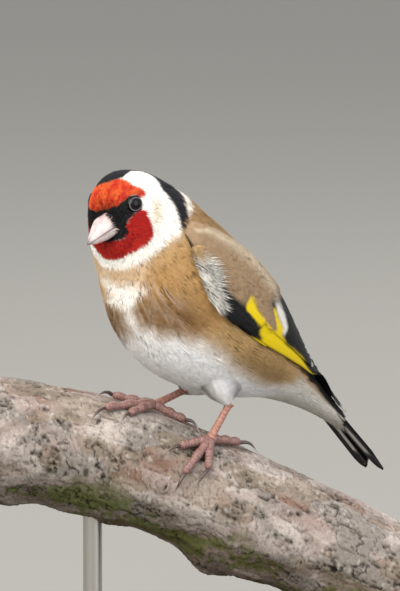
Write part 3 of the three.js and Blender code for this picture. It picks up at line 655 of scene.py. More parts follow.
def makeCoat(name, c):
    # roots in an even scatter thinned to the wanted spacing, then a fan of barbs from each, along the lie
    low, high = c["span"]
    tries = scatterSet["tries"]
    n = np.arange(tries)
    u = low + (high - low) * ((0.5 + n * scatterSet["stepU"]) % 1)
    angle = 2 * np.pi * ((0.5 + n * scatterSet["stepAngle"]) % 1)
    along, around, _ = bodySlopes(u, angle)
    area = np.linalg.norm(np.cross(along, around), axis=-1) * (high - low) * 2 * np.pi / tries
    keep = draw.random(tries) < area / (scatterSet["filled"] * c["spacing"] ** 2)
    u, angle = u[keep], angle[keep]
    seen = ~wingCovers(bodyAt(u, angle))
    u, angle = u[seen], angle[seen]
    count, fan = len(u), c["fan"]
    total = count * fan
    spread = np.tile(np.linspace(-1, 1, fan), count)
    scatter = 0.3 * c["spacing"] * draw.normal(0, 1, (2, total))
    along, around = slopeLengths(u, angle)
    rootU = np.clip(np.repeat(u, fan) + scatter[0] / np.repeat(along, fan), 0, 0.99)
    rootA = np.repeat(angle, fan) + scatter[1] / np.repeat(around, fan)
    turn = np.radians(spread * c["spread"] + draw.normal(0, 2.5, total))
    turn += np.repeat(np.radians(draw.normal(0, 3, count)), fan)
    size = np.repeat(draw.uniform(0.85, 1.12, count), fan)
    reach = c["length"] * size * (1 - 0.22 * np.abs(spread) ** 2) * draw.uniform(0.82, 1.08, total)
    # short by the bill
    reach *= mix(0.55, 1, ease(rootU / 0.06))
    along, around = slopeLengths(rootU, rootA)
    uu = np.clip(rootU[:, None] + (reach * np.cos(turn) / along)[:, None] * shortSteps, 0, 1)
    aa = rootA[:, None] + (reach * np.sin(turn) / around)[:, None] * shortSteps
    _, around, normal = bodySlopes(uu, aa)
    # from under the skin to just below the coat's own surface
    depth = coatDepth(rootU)
    top = draw.uniform(-0.16, 0.0, total) * depth * c["ragged"]
    height = mix(-depth[:, None] - 0.12, top[:, None], shortSteps[None] ** 0.6)
    path = bodyAt(uu, aa) + normal * height[..., None]
    good = (eyeDistance(path).min(1) > eyeSet["bareRing"]) & (billShare(path) > billRoot["clear"]).all(1)
    width = c["width"] * draw.uniform(0.75, 1.25, total)[:, None] * np.array([0.9, 1.0])
    # a feather shows the colour of the place that its tip covers
    base = plumageColour(mix(uu[good, 1], uu[good, 2], 0.55), mix(aa[good, 1], aa[good, 2], 0.55))
    tone = np.repeat(draw.normal(1, 0.02, count), fan)[good] * draw.normal(1, 0.045, total)[good]
    piece = barbPiece(name, 1, path[good], normal[good], unit(around)[good], width[good],
                      shaded(base, tone, shortShade, 0.96), rootU[good], rootA[good] / (2 * np.pi), False)
    print(name, good.sum(), "barbs")


# Wings

wingSet = dict(
    lower=[(12.4, -14.2, 18), (14.8, -12.0, 11), (17.0, -6.4, -1.4), (17.2, 4, -9.6), (14.3, 16.8, -16.8),
           (9.4, 29.5, -23.6), (3.6, 46.6, -35.0)],
    upper=[(11.2, -11.4, 21), (11.6, -4.6, 18.0), (11.1, 5.5, 11.6), (10.2, 14, 3.0), (7.4, 22.5, -6.2),
           (4.2, 31.5, -15.2), (2.0, 45.6, -33.4)],
    clear=0.5,
    overTail=0.45,
    bulge=0.4,
    rows=61,
    columns=25,
    evened=3,
)
tailSet = dict(root=(0, 28.0, -17.3), pitch=46.2, length=42.6, fork=2.8, pairs=6, first=0.7, spread=0.5,
               half=2.15, layer=0.3, rows=44)
tailAlong, tailUp = tipped(tailSet["pitch"], 1)


def wingSheet(w):
    # straight lines from the wing's lower edge to its upper one, lifted clear of the body, then evened out
    s, t = np.meshgrid(np.linspace(0, 1, w["rows"]), np.linspace(0, 1, w["columns"]), indexing="ij")
    low, high = spline(w["lower"], s), spline(w["upper"], s)
    along = spline(w["lower"], np.minimum(s + 0.01, 1)) - spline(w["lower"], np.maximum(s - 0.01, 0))
    out = unit(np.cross(high - low, along))
    out *= np.sign(out[..., :1])
    p = low + (high - low) * t[..., None] + out * (w["bulge"] * (1 - s) * 4 * t * (1 - t))[..., None]
    p = p.reshape(-1, 3)
    u, angle = np.meshgrid(np.linspace(0.12, 1, 110), np.radians(np.arange(0, 360, 4)), indexing="ij")
    body = bodyAt(u, angle).reshape(-1, 3)
    normal = bodySlopes(u, angle)[2].reshape(-1, 3)
    distance = ((p[:, None] - body[None]) ** 2).sum(-1)
    near = distance.argmin(1)
    height = ((p - body[near]) * normal[near]).sum(-1)
    push = np.where((height < w["clear"]) & (distance.min(1) < 150), w["clear"] - height, 0)
    p = p + normal[near] * push[:, None]
    over = p - np.array(tailSet["root"])
    above = over @ tailUp
    low = (over @ tailAlong > 6) & (above < w["overTail"])
    p = p + tailUp * np.where(low, w["overTail"] - above, 0)[:, None]
    sheet = p.reshape(w["rows"], w["columns"], 3)
    for _ in range(w["evened"]):
        e = np.pad(sheet, ((1, 1), (1, 1), (0, 0)), mode="reflect", reflect_type="odd")
        sheet = 0.5 * sheet + 0.125 * (e[2:, 1:-1] + e[:-2, 1:-1] + e[1:-1, 2:] + e[1:-1, :-2])
    du, dv = np.gradient(sheet, axis=0), np.gradient(sheet, axis=1)
    normal = unit(np.cross(dv, du))
    # it faces away from the body
    return sheet, normal if normal[w["rows"] // 2, w["columns"] // 2, 0] > 0 else -normal


wingGrid, wingNormal = wingSheet(wingSet)


def fromGrid(grid, s, t):
    # the grid's value between its four nearest corners, carried straight on past its edges
    rows, columns = grid.shape[:2]
    x, y = s * (rows - 1), t * (columns - 1)
    i = np.clip(np.floor(x).astype(int), 0, rows - 2)
    j = np.clip(np.floor(y).astype(int), 0, columns - 2)
    a, b = (x - i)[..., None], (y - j)[..., None]
    near = grid[i, j] * (1 - a) * (1 - b) + grid[i + 1, j] * a * (1 - b)
    return near + grid[i, j + 1] * (1 - a) * b + grid[i + 1, j + 1] * a * b


def wingAt(s, t, height):
    # the sheet's point at s along and t across, raised along its normal by a height in mm
    return fromGrid(wingGrid, s, t) + unit(fromGrid(wingNormal, s, t)) * np.asarray(height)[..., None]


def sheetSteps(s, t, turn, reach):
    # the steps in s and t that carry reach mm over the sheet, turned away from its length
    along = (wingAt(s + 0.01, t, 0 * s) - wingAt(s - 0.01, t, 0 * s)) / 0.02
    around = (wingAt(s, t + 0.02, 0 * s) - wingAt(s, t - 0.02, 0 * s)) / 0.04
    ds = reach * np.cos(turn) / np.linalg.norm(along, axis=-1)
    return ds, reach * np.sin(turn) / np.maximum(np.linalg.norm(around, axis=-1), 4)


def wingCovers(points, near=2.2, atOnce=4000):
    # true for points of the body that lie within near mm of the middle of either wing
    # every other corner of the sheet, its rim left out
    inner = wingGrid[4:52:2, 3:-3:2].reshape(-1, 3)
    p = np.concatenate([np.abs(points[:, :1]), points[:, 1:]], 1)
    covered = np.zeros(len(p), bool)
    for start in range(0, len(p), atOnce):
        block = p[start : start + atOnce]
        covered[start : start + atOnce] = ((block[:, None] - inner[None]) ** 2).sum(-1).min(1) < near**2
    return covered


wingMarks = dict(
    brown=[(-0.3, -0.6), (0.0, 0.0), (0.08, 0.02), (0.172, 0.12), (0.24, 0.21), (0.316, 0.22),
           (0.385, 0.27), (0.397, 0.33), (0.392, 0.44), (0.444, 0.355), (0.495, 0.28), (0.54, 0.25),
           (0.552, 0.3), (0.546, 0.38), (0.512, 0.5), (0.492, 0.58), (0.515, 0.72), (0.545, 0.82),
           (0.56, 1.4), (-0.3, 1.4)],
    # a pale band just inside the wing's upper edge: painted highlight where the edge faces the light
    paleEdgeHighlight=[(0.03, 0.5), (0.11, 0.7), (0.24, 0.76), (0.343, 0.77), (0.452, 0.71), (0.517, 0.66),
              (0.53, 0.76), (0.46, 0.86), (0.343, 0.92), (0.24, 0.91), (0.1, 0.84), (0.02, 0.6)],
    yellow=[(0.378, 0.36), (0.392, 0.46), (0.42, 0.5), (0.5, 0.5), (0.52, 0.56), (0.535, 0.5),
            (0.565, 0.44), (0.588, 0.36), (0.592, 0.3), (0.624, 0.225), (0.727, 0.22), (0.82, 0.13),
            (0.86, -0.1), (0.88, -0.6), (0.52, -0.6), (0.505, 0.0), (0.526, 0.06), (0.483, 0.19),
            (0.405, 0.25)],
    white=[(0.515, 0.62), (0.535, 0.68), (0.562, 0.64), (0.59, 0.55), (0.607, 0.42), (0.594, 0.32),
           (0.58, 0.4), (0.556, 0.47), (0.53, 0.54)],
)
# pale is a painted highlight, for the band along the wing's upper edge
wingHex = dict(black="#0a090a", brown="#957c60", pale="#cdbfa6", yellow="#e6c808", white="#e2ded4")
wingLinear = linearSet(wingHex)
# the sheet's length as a share of the body's, and its width in the body's degrees
sheetScale = (0.7, 45)


def wingMask(name, s, t, soft):
    # the body's outline rule, on the wing's own sheet
    return outlineMask(np.array(wingMarks[name]) * sheetScale, s * sheetScale[0], t * sheetScale[1], soft)


def wingColour(s, t):
    # black, with the yellow bar, the brown fore part and a pale band of painted highlight along its upper
    # edge laid over it, each edge a little wavy
    colour = np.ones(s.shape + (3,)) * wingLinear["black"]
    wave = layeredNoise(np.stack([s * 40, t * 14, 0 * s], -1), 3, 5)
    for name, mark, soft, strength in (
        ("yellow", "yellow", 0.3, 1.0),
        ("brown", "brown", 0.35, 1.0),
        # painted highlight along the wing's upper edge
        ("pale", "paleEdgeHighlight", 1.4, 0.75),
        ("white", "white", 0.4, 1.0),
    ):
        mask = wingMask(mark, s + wave * 0.005, t + wave * 0.01, soft) * strength
        colour = mix(colour, wingLinear[name], mask[..., None])
    return colour


# Flight feathers: keratin vanes of locked barbs on stiff shafts. Close and smooth, so they catch soft light.
def vaneMaterial(name, roughness):
    m, tree, shader = newMaterial(name)
    web = addNode(tree, "ShaderNodeUVMap", {"uv_map": "Web"})
    # slanting barbs, drawn coarser than real ones so that they show
    barb = addNode(tree, "ShaderNodeTexWave", {"wave_type": "BANDS", "bands_direction": "DIAGONAL",
                                               "Scale": 22.0, "Distortion": 1.5, "Detail": 2.0,
                                               "Detail Scale": 2.0},
                   {"Vector": web.outputs["UV"]})
    tone = addNode(tree, "ShaderNodeValToRGB", {"stops": [(0.2, "#d0d0d0"), (0.8, "#ffffff")]},
                   {"Fac": barb.outputs["Fac"]})
    bump = addNode(tree, "ShaderNodeBump", {"Strength": 0.25, "Distance": 0.00005},
                   {"Height": barb.outputs["Fac"]})
    setNode(tree, shader, {"Roughness": roughness, "Specular IOR Level": 0.2},
            {"Base Color": toneOver(tree, tone), "Normal": bump.outputs["Normal"]})
    return m


flightMaterial = vaneMaterial("flight feather vane, locked barbs", 0.55)
vaneSet = dict(thick=0.09, across=11, tilt=0.12)


def addWeb(piece, web):
    # the vanes' own coordinates, for the pattern of their barbs
    layer = piece.data.uv_layers.new(name="Web")
    corners = np.empty(len(piece.data.loops), np.int32)
    piece.data.loops.foreach_get("vertex_index", corners)
    layer.data.foreach_set("uv", web[corners].astype(np.float32).ravel())


def webPattern(count, a, v, along):
    # across and along places on each of count vanes, the same for all
    web = np.stack(np.broadcast_arrays(np.abs(v) * 0.5, a[:, None] * along), -1)
    return np.broadcast_to(web, (count, *web.shape))


def bothFaces(values):
    # values of the corners of each vane's upper face, repeated for its lower one, as one list
    flat = values.reshape(len(values), 1, -1, values.shape[-1])
    return np.repeat(flat, 2, 1).reshape(-1, values.shape[-1])


def vaneShells(middle, side, up, half, camber, tilt):
    # count curved vanes: across each station the web rises to its shaft and drops to both edges
    # middle, side and up are (count, rows, 3); half is (count, rows)
    count, rows = middle.shape[:2]
    columns = vaneSet["across"]
    v = np.linspace(-1, 1, columns)
    rise = camber * (1 - np.abs(v) ** 1.6) + 0.05 * np.exp(-((v / 0.12) ** 2))
    slope = np.asarray(tilt)[:, None, None] * v
    height = rise[None, None] * np.minimum(half, 1.0)[..., None] + slope
    top = middle[:, :, None] + side[:, :, None] * (half[..., None] * v)[..., None]
    top = top + up[:, :, None] * height[..., None]
    under = top - up[:, :, None] * vaneSet["thick"]
    n = rows * columns
    points = np.concatenate([top.reshape(count, n, 3), under.reshape(count, n, 3)], 1)
    face = gridQuads(rows, columns)
    # the rims run from corner p to corner q on the upper face and back on the lower
    j, i = np.arange(columns - 1), np.arange(rows - 1) * columns
    last = (rows - 1) * columns
    ends = ((j + 1, j), (last + j, last + j + 1), (i, i + columns), (i + 2 * columns - 1, i + columns - 1))
    rims = [np.stack([p, q, q + n, p + n], -1) for p, q in ends]
    one = np.concatenate([face, face[:, ::-1] + n, *rims])
    quads = (one[None] + np.arange(count)[:, None, None] * 2 * n).reshape(-1, 4)
    points = points.reshape(-1, 3)
    if signedVolume(points, one) < 0:
        quads = quads[:, ::-1]
    return points, quads, v


wingTiers = [
    # name, count, root from and to, tip from and to, half width in mm, height from and to
    dict(name="primaries", count=10, root=((0.36, 0.06), (0.34, 0.34)), tip=((1.0, 0.35), (0.84, 0.72)),
         half=1.75, height=(0.0, 0.55)),
    dict(name="secondaries", count=6, root=((0.3, 0.36), (0.28, 0.6)), tip=((0.84, 0.38), (0.74, 0.62)),
         half=2.3, height=(0.62, 0.95)),
    dict(name="tertials", count=3, root=((0.3, 0.6), (0.28, 0.8)), tip=((0.8, 0.62), (0.68, 0.78)),
         half=2.8, height=(1.0, 1.35)),
    dict(name="alula", count=3, root=((0.22, 0.05), (0.24, 0.14)), tip=((0.42, 0.05), (0.46, 0.12)),
         half=1.5, height=(0.75, 0.9)),
    dict(name="greaterCoverts", count=9, root=((0.26, 0.14), (0.24, 0.82)), tip=((0.49, 0.12), (0.55, 0.84)),
         half=1.9, height=(0.85, 1.3)),
    dict(name="medianCoverts", count=8, root=((0.16, 0.12), (0.14, 0.84)), tip=((0.36, 0.14), (0.42, 0.84)),
         half=1.8, height=(1.0, 1.4)),
]
whiteTipped = ("primaries", "secondaries", "tertials")
vaneRows = 38


def makeWing(side):
    # every tier's feathers as curved vanes on the sheet; the right wing is the left one mirrored
    a = np.linspace(0, 1, vaneRows)
    shape = (0.55 + 0.45 * ease(a / 0.35)) * np.sqrt(np.clip(1 - ((a - 0.8) / 0.2).clip(0) ** 2.4, 0.0009, 1))
    allPoints, allQuads, allColours, allWeb, n = [], [], [], [], 0
    for tier in wingTiers:
        count = tier["count"]
        share = np.linspace(0, 1, count)
        root = mix(np.array(tier["root"][0]), np.array(tier["root"][1]), share[:, None])
        tip = mix(np.array(tier["tip"][0]), np.array(tier["tip"][1]), share[:, None] ** 1.1)
        s = mix(root[:, None, 0], tip[:, None, 0], a)
        t = mix(root[:, None, 1], tip[:, None, 1], a**1.15)
        height = mix(*tier["height"], share)[:, None] * (1 - 0.45 * t) - 0.25 * (a < 0.05)
        middle = wingAt(s, t, height)
        up = unit(fromGrid(wingNormal, s, t))
        across = unit(np.cross(up, unit(np.gradient(middle, axis=1))))
        half = tier["half"] * shape * (1 - 0.15 * share[:, None])
        points, quads, v = vaneShells(middle, across, up, half, 0.28, np.full(count, vaneSet["tilt"]))
        # each corner takes the sheet's colour at its own place across
        width = np.linalg.norm(fromGrid(wingGrid, s, t * 0 + 1) - fromGrid(wingGrid, s, t * 0), axis=-1)
        direction = np.sign(np.einsum("ijk,ijk->ij", across, wingAt(s, t + 0.02, height) - middle))
        tv = t[..., None] + (half * direction / np.maximum(width, 1.5))[..., None] * v
        colour = wingColour(np.broadcast_to(s[..., None], tv.shape), tv)
        # painted shade: each vane darker towards both edges, for the shadow lines where the feathers overlap
        edge = 1 - 0.35 * ease((np.abs(v) - 0.6) / 0.4)
        colour = colour * edge[None, None, :, None] * draw.normal(1, 0.05, (count, 1, 1, 1))
        if tier["name"] in whiteTipped:
            colour = mix(colour, wingLinear["white"], ease((a - 0.95) / 0.03)[None, :, None, None] * 0.85)
        allPoints.append(points)
        allQuads.append(quads + n)
        allColours.append(bothFaces(colour))
        allWeb.append(bothFaces(webPattern(count, a, v, 6)))
        n += len(points)
    points, quads = sided(side, np.concatenate(allPoints), np.concatenate(allQuads))
    piece = newPiece("wingVanes." + sideWord[side], points, quads, None, flightMaterial,
                     np.clip(np.concatenate(allColours), 0, 1))
    addWeb(piece, np.concatenate(allWeb))
    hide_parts("wing_left" if side > 0 else "wing_right")


wingCoatSet = dict(roots=1500, fan=11, length=3.9, width=0.2, spread=12, pad=1.6)
bakeHalf = {1: 0.0, -1: 0.5}  # each side's barbs bake on their own half of the map


def padHeight(s, t):
    # how far the fleshy fore part stands off the sheet, in mm: full within the brown, gone 2 mm outside it
    inside = wingMask("brown", s + 0.005, t + 0.03, 2.0)
    return 0.2 + wingCoatSet["pad"] * inside * ease((s + 0.03) / 0.12) * ease((1.06 - t) / 0.16)


def makeWingCoat(side, c):
    # small brown feathers over the wing's fore part, fans of barbs that lie back along the sheet
    s = draw.uniform(-0.03, 0.54, c["roots"] * 2)
    t = draw.uniform(-0.04, 1.04, c["roots"] * 2)
    brown = wingMask("brown", s + 0.025, t, 0.8) > 0.5
    s, t = s[brown][: c["roots"]], t[brown][: c["roots"]]
    count, fan = len(s), c["fan"]
    spread = np.tile(np.linspace(-1, 1, fan), count)
    s, t = np.repeat(s, fan), np.repeat(t, fan)
    turn = spread * c["spread"] + draw.normal(0, 3, count * fan)
    turn = np.radians(turn + np.repeat(draw.normal(0, 3, count), fan))
    reach = c["length"] * (1 - 0.2 * spread**2) * draw.uniform(0.8, 1.1, count * fan)
    reach *= mix(0.55, 1.0, ease(s / 0.2))
    ds, dt = sheetSteps(s, t, turn, reach)
    # a barb that would end outside the brown is a short one
    short = np.where(wingMask("brown", s + ds, t + dt, 0.6) < 0.5, 0.55, 1.0)
    ss = s[:, None] + (ds * short)[:, None] * shortSteps
    tt = t[:, None] + (dt * short)[:, None] * shortSteps
    good = wingMask("brown", mix(ss[:, 1], ss[:, 2], 0.6), mix(tt[:, 1], tt[:, 2], 0.6), 0.6) > 0.3
    s, t, ss, tt = s[good], t[good], ss[good], tt[good]
    height = padHeight(ss, tt) + np.array([-0.45, 0.02, 0.12]) + draw.uniform(-0.06, 0.06, (len(s), 1))
    path, up = wingAt(ss, tt, height), unit(fromGrid(wingNormal, ss, tt))
    width = c["width"] * draw.uniform(0.75, 1.25, len(s))[:, None] * np.array([0.9, 1.0])
    base = wingColour(mix(ss[:, 1], ss[:, 2], 0.4), mix(tt[:, 1], tt[:, 2], 0.4))
    tone = np.repeat(draw.normal(1, 0.025, count), fan)[good] * draw.normal(1, 0.05, len(s))
    piece = barbPiece("wingCoat." + sideWord[side], side, path, up, acrossOf(path, up), width,
                      shaded(base, tone, shortShade), s * 0.9, 0.25 * t + bakeHalf[side], False)


def makeWingBed(side):
    # the wing's fleshy fore part: a shallow pad on the sheet, closed underneath, hidden by its feathers
    s, t = np.meshgrid(np.linspace(-0.01, 0.56, 60), np.linspace(0, 1, 40), indexing="ij")
    top = wingAt(s, t, padHeight(s, t) - 0.35)
    under = wingAt(s, t, 0 * s - 0.3)[:, ::-1]
    hues = wingColour(s + 0.01, t)
    colours = np.concatenate([hues, hues[:, ::-1]], 1).reshape(-1, 3)
    # times 0.85: painted shade where the bed shows between its feathers
    colours = np.concatenate([colours, np.full((2, 3), 0.02)]) * 0.85
    points, quads, tris = sided(side, *closedLoft(np.concatenate([top, under], 1)))
    bed = newPiece("wingBed." + sideWord[side], points, quads, tris, skinMaterial, colours)


for side in (1, -1):
    makeWing(side)
    makeWingBed(side)
    makeWingCoat(side, wingCoatSet)
print("wings made")

# Body coat, in regions that keep each mesh light

for name, region in coatSet.items():
    makeCoat("coat." + name + ".1", region)
print("coat made")

# Barbs of the breast side that lie over the wing's front edge

fringeSet = dict(count=1300, length=6.6, width=0.15, whiteTo=0.62, greyTo=0.9)
fringeLinear = linearSet(dict(white="#f4f1e8", grey="#b0aca3", dark="#3b3a39"))


def makeFringe(side, c):
    # roots along the wing's front and lower edge, long loose barbs that sweep back over it
    n = c["count"]
    s = draw.uniform(0.07, 0.285, n)
    t = draw.uniform(-0.12, 0.02, n)
    reach = c["length"] * draw.uniform(0.55, 1.1, n) * mix(0.4, 1.0, ease((s - 0.09) / 0.09))
    turn = np.radians(draw.normal(30, 9, n) - 22 * ease((s - 0.19) / 0.1))
    ds, dt = sheetSteps(s, t, turn, reach)
    ss, tt = s[:, None] + ds[:, None] * longSteps, t[:, None] + dt[:, None] * longSteps
    height = padHeight(ss, tt) + np.array([-0.5, 1.1, 1.6, 1.7]) + draw.uniform(-0.15, 0.35, (n, 1))
    path, up = wingAt(ss, tt, height), unit(fromGrid(wingNormal, ss, tt))
    width = c["width"] * draw.uniform(0.6, 1.2, n)[:, None] * np.array([0.9, 1.0, 0.6])
    pick = draw.random(n)[:, None]
    base = np.where(pick < c["greyTo"], fringeLinear["grey"], fringeLinear["dark"])
    base = np.where(pick < c["whiteTo"], fringeLinear["white"], base)
    base = mix(plumageLinear["tawny"], base, ease((s - 0.09) / 0.06)[:, None])
    # the ring shades are painted shade at each barb's root and painted light at its tip
    piece = barbPiece("fringe." + sideWord[side], side, path, up, acrossOf(path, up), width,
                      shaded(base, np.ones(n), (0.75, 0.95, 1.03, 1.05)), s, 0.3 + 0.1 * t + bakeHalf[side])


for side in (1, -1):
    makeFringe(side, fringeSet)
print("fringe made")

# Tail

tailLinear = linearSet(dict(black="#121114", white="#dcdad6", covert="#bdb9ae"))


def tailAt(along, side, up):
    # a point given in the tail's own directions, from its root
    point = np.array(tailSet["root"]) + along[..., None] * tailAlong + side[..., None] * leftWay
    return point + up[..., None] * tailUp


def makeTail(w):
    # twelve vanes, the outer pairs longer and lower; the inner ones tipped with white, the outermost patched
    a = np.linspace(0, 1, w["rows"])
    pair = np.repeat(np.arange(w["pairs"]), 2)
    side = np.tile([1, -1], w["pairs"])
    outer = w["pairs"] - 1
    length = w["length"] + w["fork"] * (pair / outer) ** 1.3
    rootX = side * (0.4 + 0.2 * pair)
    tipX = side * (w["first"] + w["spread"] * pair)
    x = mix(rootX[:, None], tipX[:, None] + 0.3 * side[:, None], a**1.2)
    middle = tailAt(length[:, None] * a, x, -w["layer"] * pair[:, None] + 0 * a)
    up, across = np.broadcast_to(tailUp, middle.shape), np.broadcast_to(leftWay, middle.shape)
    shape = (0.35 + 0.65 * ease(a / 0.5)) * np.sqrt(np.clip(1 - ((a - 0.9) / 0.1).clip(0) ** 2.2, 0.0009, 1))
    half = w["half"] * shape * np.ones((len(pair), 1))
    points, quads, v = vaneShells(middle, across, up, half, 0.22, -vaneSet["tilt"] * side)
    colour = np.ones((len(pair), len(a), len(v), 3)) * tailLinear["black"]
    tip = ease((a - 0.955) / 0.02)[None, :, None] * (pair < outer)[:, None, None]
    patch = (ease((a - 0.6) / 0.03) * ease((0.87 - a) / 0.03))[None, :, None] * (pair >= outer)[:, None, None]
    patch = patch * ease((0.42 - np.abs(v[None, None] + 0.25 * side[:, None, None])) / 0.12)
    colour = mix(colour, tailLinear["white"], np.maximum(tip * 0.5, patch)[..., None])
    piece = newPiece("tailVanes", points, quads, None, flightMaterial, bothFaces(colour))
    addWeb(piece, bothFaces(webPattern(len(pair), a, v, 8)))
    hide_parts("tail")


makeTail(tailSet)

tailCoatSet = dict(count=150, fan=11, length=7.5, width=0.22)


def makeTailCoat(name, under, c):
    # the soft coverts over and under the tail's root: fans that shorten towards the tail's middle
    count, fan = c["count"], c["fan"]
    y = draw.uniform(9, 23 if under else 17, count)
    x = draw.uniform(-1, 1, count) * mix(4.4, 2.2, (y - 9) / 14)
    drop = mix(-5.0, -1.7, ease((y - 9) / 14)) if under else mix(1.6, 0.5, ease((y - 9) / 9))
    spread = np.tile(np.linspace(-1, 1, fan), count)
    y0, x0, h0 = np.repeat(y, fan), np.repeat(x, fan), np.repeat(drop, fan)
    turn = np.radians(spread * 12 + draw.normal(0, 4, count * fan)) - x0 * 0.03
    reach = c["length"] * (1 - 0.2 * spread**2) * draw.uniform(0.8, 1.1, count * fan)
    yy = y0[:, None] + (reach * np.cos(turn))[:, None] * longSteps
    xx = x0[:, None] + (reach * np.sin(turn))[:, None] * longSteps
    hh = mix(h0[:, None], -1.9 if under else 0.35, np.clip((yy - 9) / 16, 0, 1) ** 0.8)
    hh = hh * np.sqrt(np.clip(1 - (xx / 6.5) ** 2, 0.1, 1))
    path = tailAt(yy, xx, hh)
    up = np.broadcast_to(-tailUp if under else tailUp, path.shape)
    width = c["width"] * draw.uniform(0.75, 1.25, count * fan)[:, None] * np.array([0.8, 1.0, 0.72])
    base = np.tile(tailLinear["covert"] if under else tailLinear["black"] * 1.5, (count * fan, 1))
    tone = np.repeat(draw.normal(1, 0.08, count), fan) * draw.normal(1, 0.06, count * fan)
    # the ring shades are painted shade at each barb's root and painted light at its tip
    piece = barbPiece(name, 1, path, up, acrossOf(path, up), width,
                      shaded(base, tone, (0.75, 0.92, 1.04, 1.1)), 0.9 + y0 * 0.003,
                      (0.75 if under else 0.25) + x0 * 0.01)


makeTailCoat("coat.underTail", True, tailCoatSet)
makeTailCoat("coat.overTail", False, tailCoatSet)
print("tail made")

# Bill: forward and up places in the head's own directions, in mm

billSet = dict(tip=(14.6, -4.5), culmen=(4.4, -0.9), chin=(7.9, -7.0), gape=(4.2, -6.1), bend=(6.4, -3.8),
               root=2.6, half=4.1, gap=0.15, tipSet=14.5, rows=80, columns=44)
# shade is painted shade, for the crease along the mouth
billLinear = linearSet(dict(horn="#cbc0bf", pink="#c4a5a0", shade="#7d6462", ridge="#a5969b", tip="#595158",
                            bristle="#0c0b0c"))


def mouthLine(f):
    # the cutting edge: bent down to the gape, straight to the tip
    g, b, t = billSet["gape"], billSet["bend"], billSet["tip"]
    bent = mix(g[1], b[1], ease((f - g[0]) / (b[0] - g[0])))
    return np.where(f < b[0], bent, mix(b[1], t[1], (f - b[0]) / (t[0] - b[0])))


def billAt(f, angle, upper, out=0.0):
    # across the bill a half oval from one cutting edge over the ridge to the other, sharpest at the ridge
    base = billSet["culmen"] if upper else billSet["chin"]
    tipF, tipU = billSet["tip"]
    along = np.clip((f - base[0]) / (tipF - base[0]), 0, 1)
    edge = mix(base[1], tipU, along) + (0.55 if upper else -0.28) * np.sin(np.pi * along)
    taper = np.clip((tipF - f) / (tipF - billSet["gape"][0]), 0.02, 1)
    half = (billSet["half"] + (0 if upper else -0.2 + 0.6 * ease((9.0 - f) / 4.0))) * taper**0.86 + 0.06 + out
    mouth = mouthLine(f) + (billSet["gap"] if upper else -billSet["gap"]) * 0.5
    c, k = np.cos(angle), np.sin(angle)
    side = half * np.sign(c) * np.abs(c) ** 0.92
    swell = k**0.78 * (1 - 0.05 * (1 - np.exp(-((c / 0.3) ** 2))))
    up = mouth + (edge - mouth + (out if upper else -out)) * swell
    return headAt(f, side, up)


def billHalf(upper):
    # rings of billAt from the root to the tip, closed along the mouth, with a colour for each corner
    f, a = np.meshgrid(np.linspace(billSet["root"], billSet["tipSet"], billSet["rows"]),
                       np.linspace(0, np.pi, billSet["columns"]), indexing="ij")
    edge = np.minimum(a, np.pi - a)
    colour = billLinear["horn"]
    layers = [
        ("pink", ease((8.0 - f) / 4.0) * 0.6),
        # painted shade: darker along both cutting edges, in the crease of the mouth
        ("shade", np.exp(-((edge / 0.13) ** 2)) * (0.6 if upper else 0.35)),
        ("ridge", np.exp(-(((a - np.pi / 2) / 0.16) ** 2)) * (0.45 if upper else 0.0)),
        ("tip", ease((f - 11.6) / 2.6) * (0.9 if upper else 0.75)),
    ]
    for name, mask in layers:
        colour = mix(colour, billLinear[name], mask[..., None])
    colours = np.concatenate([colour.reshape(-1, 3), [billLinear["pink"], billLinear["tip"]]])
    return *closedLoft(billAt(f, a, upper)), colours


# Bill: a thin horn sheath over bone, grown in layers. Satin, so the light runs along its ridge.
def billMaterial():
    m, tree, shader = newMaterial("bill, horn sheath grown in layers")
    place = addNode(tree, "ShaderNodeTexCoord")
    # grain of about 1.5 mm
    grain = addNode(tree, "ShaderNodeTexNoise", {"Scale": 700.0, "Detail": 3.0},
                    {"Vector": place.outputs["Object"]})
    tone = addNode(tree, "ShaderNodeValToRGB", {"stops": [(0.35, "#e6dcd8"), (0.65, "#ffffff")]},
                   {"Fac": grain.outputs["Fac"]})
    bump = addNode(tree, "ShaderNodeBump", {"Strength": 0.2, "Distance": 0.00008},
                   {"Height": grain.outputs["Fac"]})
    setNode(tree, shader, {"Roughness": 0.33, "IOR": 1.54},
            {"Base Color": toneOver(tree, tone), "Normal": bump.outputs["Normal"]})
    return m


bristleSet = dict(count=420, length=2.3, width=0.13, above=0.72)


def makeBristles(c):
    # stiff black bristles that lie forward from the face over the bill's root, longest by the nostrils
    n = c["count"]
    a = np.radians(draw.uniform(4, 176, n))
    upper = draw.random(n) < c["above"]
    root = draw.uniform(3.4, 4.6, n) + np.where(upper, 0.2, 1.2)
    side = np.abs(np.cos(a))
    reach = c["length"] * draw.uniform(0.5, 1.1, n) * np.where(upper, 0.45 + 0.75 * side, 0.6)
    f = root[:, None] + reach[:, None] * longSteps
    drift = np.where(a < np.pi / 2, -1, 1) * draw.uniform(0.0, 0.22, n) * np.where(upper, 1, 0.3)
    angle = np.clip(a[:, None] + drift[:, None] * longSteps, 0.03, np.pi - 0.03)
    out = np.array([-0.1, 0.14, 0.2, 0.16]) + draw.uniform(-0.04, 0.12, (n, 1))
    path = np.where(upper[:, None, None], billAt(f, angle, True, out), billAt(f, angle, False, out))
    up = unit(path - headAt(f, 0 * f, mouthLine(f)))
    width = c["width"] * draw.uniform(0.7, 1.2, n)[:, None] * np.array([1.0, 0.9, 0.6])
    colours = np.repeat(billLinear["bristle"] * draw.uniform(0.8, 2.2, n)[:, None], 10, 0)
    piece = barbPiece("coat.bristles", 1, path, up, acrossOf(path, up), width, colours, 0 * a,
                      a / (2 * np.pi))


hornMaterial = billMaterial()
for name, upper in (("bill_upper", True), ("bill_lower", False)):
    points, quads, tris, colours = billHalf(upper)
    part = newPiece(name.replace("_", ""), points, quads, tris, hornMaterial, colours)
    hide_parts(name)
makeBristles(bristleSet)
print("bill made")


